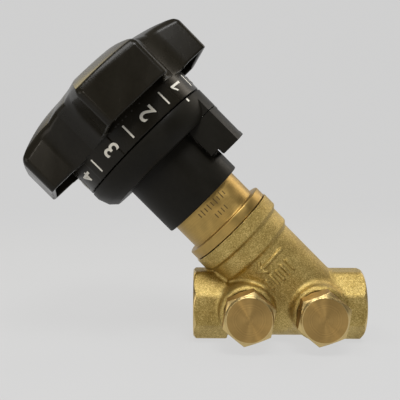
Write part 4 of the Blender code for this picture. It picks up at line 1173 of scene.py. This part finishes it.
def wrapped(bm, turn):
    """Lays a flat shape on the skirt: its right points up the stem, its top backwards in turn."""
    for level in np.arange(-4.0, 4.01, 0.5):
        everything = bm.verts[:] + bm.edges[:] + bm.faces[:]
        bmesh.ops.bisect_plane(bm, geom=everything, plane_co=(0.0, level, 0.0), plane_no=(0.0, 1.0, 0.0))
    bmesh.ops.triangulate(bm, faces=bm.faces[:])
    grown = bmesh.ops.extrude_face_region(bm, geom=bm.faces[:])
    raised = {item for item in grown["geom"] if isinstance(item, bmesh.types.BMVert)}
    for vertex in bm.verts:
        reach = SKIRT_RADIUS + (INK_THICKNESS if vertex in raised else -INK_THICKNESS)
        here = math.radians(turn) - vertex.co.y / SKIRT_RADIUS
        vertex.co = (reach * math.sin(here), -reach * math.cos(here), DIAL_HEIGHT + vertex.co.x)
    return bm


def dial():
    shapes = []
    for step in range(10):
        shape = glyph(str((step + 1) % 10)) if step else digit_one()
        shapes.append(wrapped(shape, DIAL_FIRST_TURN - DIAL_STEP * step))
        shapes.append(wrapped(tick(), DIAL_TICK_TURN - DIAL_STEP * step))
    marks = finish_mesh("dial_digits", joined(shapes, "dial"), [IVORY], STEM)
    ride(marks, "turning_group", "ivory_plastic")
    patch = curved_patch(INDEX_MARK_TURN, INDEX_MARK_HEIGHT, *INDEX_MARK_SIZE, DISH_RADIUS, INK_THICKNESS)
    dot = finish_mesh("index_mark", patch, [IVORY], STEM)
    ride(dot, "valve", "ivory_plastic")


# --- Pieces kept from the CAD ---------------------------------------------------------------------


def dress_cad_nodes():
    """Gives each CAD node that is still shown the look of its slot."""
    looks = {
        "cast_brass": CAST,
        "turned_brass": CUT_BRASS,
        "black_matt_plastic": SATIN_BLACK,
        "black_gloss_plastic": GLOSS_BLACK,
        "clear_plastic": CLEAR,
        "ivory_plastic": IVORY,
        "black_rubber": RUBBER,
        "steel": STEEL,
    }
    for node in frame["nodes"].values():
        for slot in node.material_slots:
            base = slot.material.name.split(".")[0]
            slot.material = looks[base]


# --- Camera, floor and light ----------------------------------------------------------------------


def place_camera():
    data = bpy.data.cameras.new("camera")
    data.lens = CAMERA_LENS
    data.sensor_width = 36.0
    data.clip_start = 0.01
    camera = bpy.data.objects.new("camera", data)
    turn = Matrix.Rotation(math.radians(CAMERA_TURN), 4, "Z")
    pitch = Matrix.Rotation(math.radians(90.0 - CAMERA_DOWN), 4, "X")
    roll = Matrix.Rotation(math.radians(CAMERA_ROLL), 4, "Z")
    place = Matrix.Translation(Vector(CAMERA_PLACE) * MM)
    camera.matrix_world = place @ turn @ pitch @ roll
    bpy.context.scene.collection.objects.link(camera)
    bpy.context.scene.camera = camera


def studio_sheet():
    """A pale sheet that lies under the valve and rises far behind it."""
    look = Look("studio_sheet_look", (SHEET_GREY, SHEET_GREY, SHEET_GREY), 1.0, Specular_IOR_Level=0.0)
    look.blend(look.noise(60.0, 2.0), [(0.3, SHEET_GREY - 0.002), (0.7, SHEET_GREY + 0.002)])
    look.shader.inputs["Emission Color"].default_value = (1.0, 1.0, 1.0, 1.0)
    look.shader.inputs["Emission Strength"].default_value = SHEET_GLOW
    floor = -END_FLATS / 2.0 - 0.05
    profile = [(SHEET_FRONT, floor), (0.0, floor), (SHEET_BEND_START, floor)]
    steps = 16
    for step in range(1, steps + 1):
        turn = math.radians(90.0 * step / steps)
        along = SHEET_BEND_START + SHEET_BEND_RADIUS * math.sin(turn)
        profile.append((along, floor + SHEET_BEND_RADIUS * (1.0 - math.cos(turn))))
    profile.append((SHEET_BEND_START + SHEET_BEND_RADIUS, SHEET_TOP))
    bm = bmesh.new()
    edges = (-SHEET_HALF_WIDTH, SHEET_HALF_WIDTH)
    sides = [[bm.verts.new((x, y, z)) for y, z in profile] for x in edges]
    for step in range(len(profile) - 1):
        bm.faces.new((sides[0][step], sides[1][step], sides[1][step + 1], sides[0][step + 1]))
    sheet = finish_mesh("studio_sheet", bm, [look.material], WORLD, 60.0)


def softbox(name, place, target, size, power, colour=(1.0, 1.0, 1.0)):
    data = bpy.data.lights.new(name, "AREA")
    data.shape = "RECTANGLE"
    data.size, data.size_y = (side * MM for side in size)
    data.energy = power
    data.color = colour
    lamp = bpy.data.objects.new(name, data)
    aim = (Vector(target) - Vector(place)).to_track_quat("-Z", "Y").to_matrix().to_4x4()
    lamp.matrix_world = Matrix.Translation(Vector(place) * MM) @ aim
    bpy.context.scene.collection.objects.link(lamp)


def light_scene():
    world = bpy.data.worlds.new("studio")
    world.use_nodes = True
    world.node_tree.nodes["Background"].inputs["Color"].default_value = (1.0, 0.95, 0.86, 1.0)
    world.node_tree.nodes["Background"].inputs["Strength"].default_value = 0.22
    bpy.context.scene.world = world
    bpy.context.scene.view_settings.view_transform = "Standard"
    softbox("key", (60.0, -230.0, 450.0), LIGHT_TARGET, (200.0, 160.0), 1.35)
    softbox("fill", (-330.0, -260.0, 60.0), LIGHT_TARGET, (200.0, 260.0), 0.3, (1.0, 0.93, 0.84))
    softbox("side", (320.0, 220.0, 330.0), LIGHT_TARGET, (160.0, 260.0), 0.4, (1.0, 0.9, 0.75))
    softbox("front", (-110.0, -420.0, 190.0), LIGHT_TARGET, (50.0, 50.0), 0.2, (1.0, 0.92, 0.8))
    softbox("top", (-150.0, -120.0, 420.0), LIGHT_TARGET, (240.0, 90.0), 0.5)
    softbox("warm_card", (-230.0, 190.0, 260.0), LIGHT_TARGET, (130.0, 130.0), 0.12, (0.95, 0.75, 0.3))


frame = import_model()
place_camera()
studio_sheet()
light_scene()
valve_body()
port_plugs()
bonnet()
sleeve_marks()
indicator_shroud()
window_housing()
window_pane()
handwheel()
dial()
dress_cad_nodes()
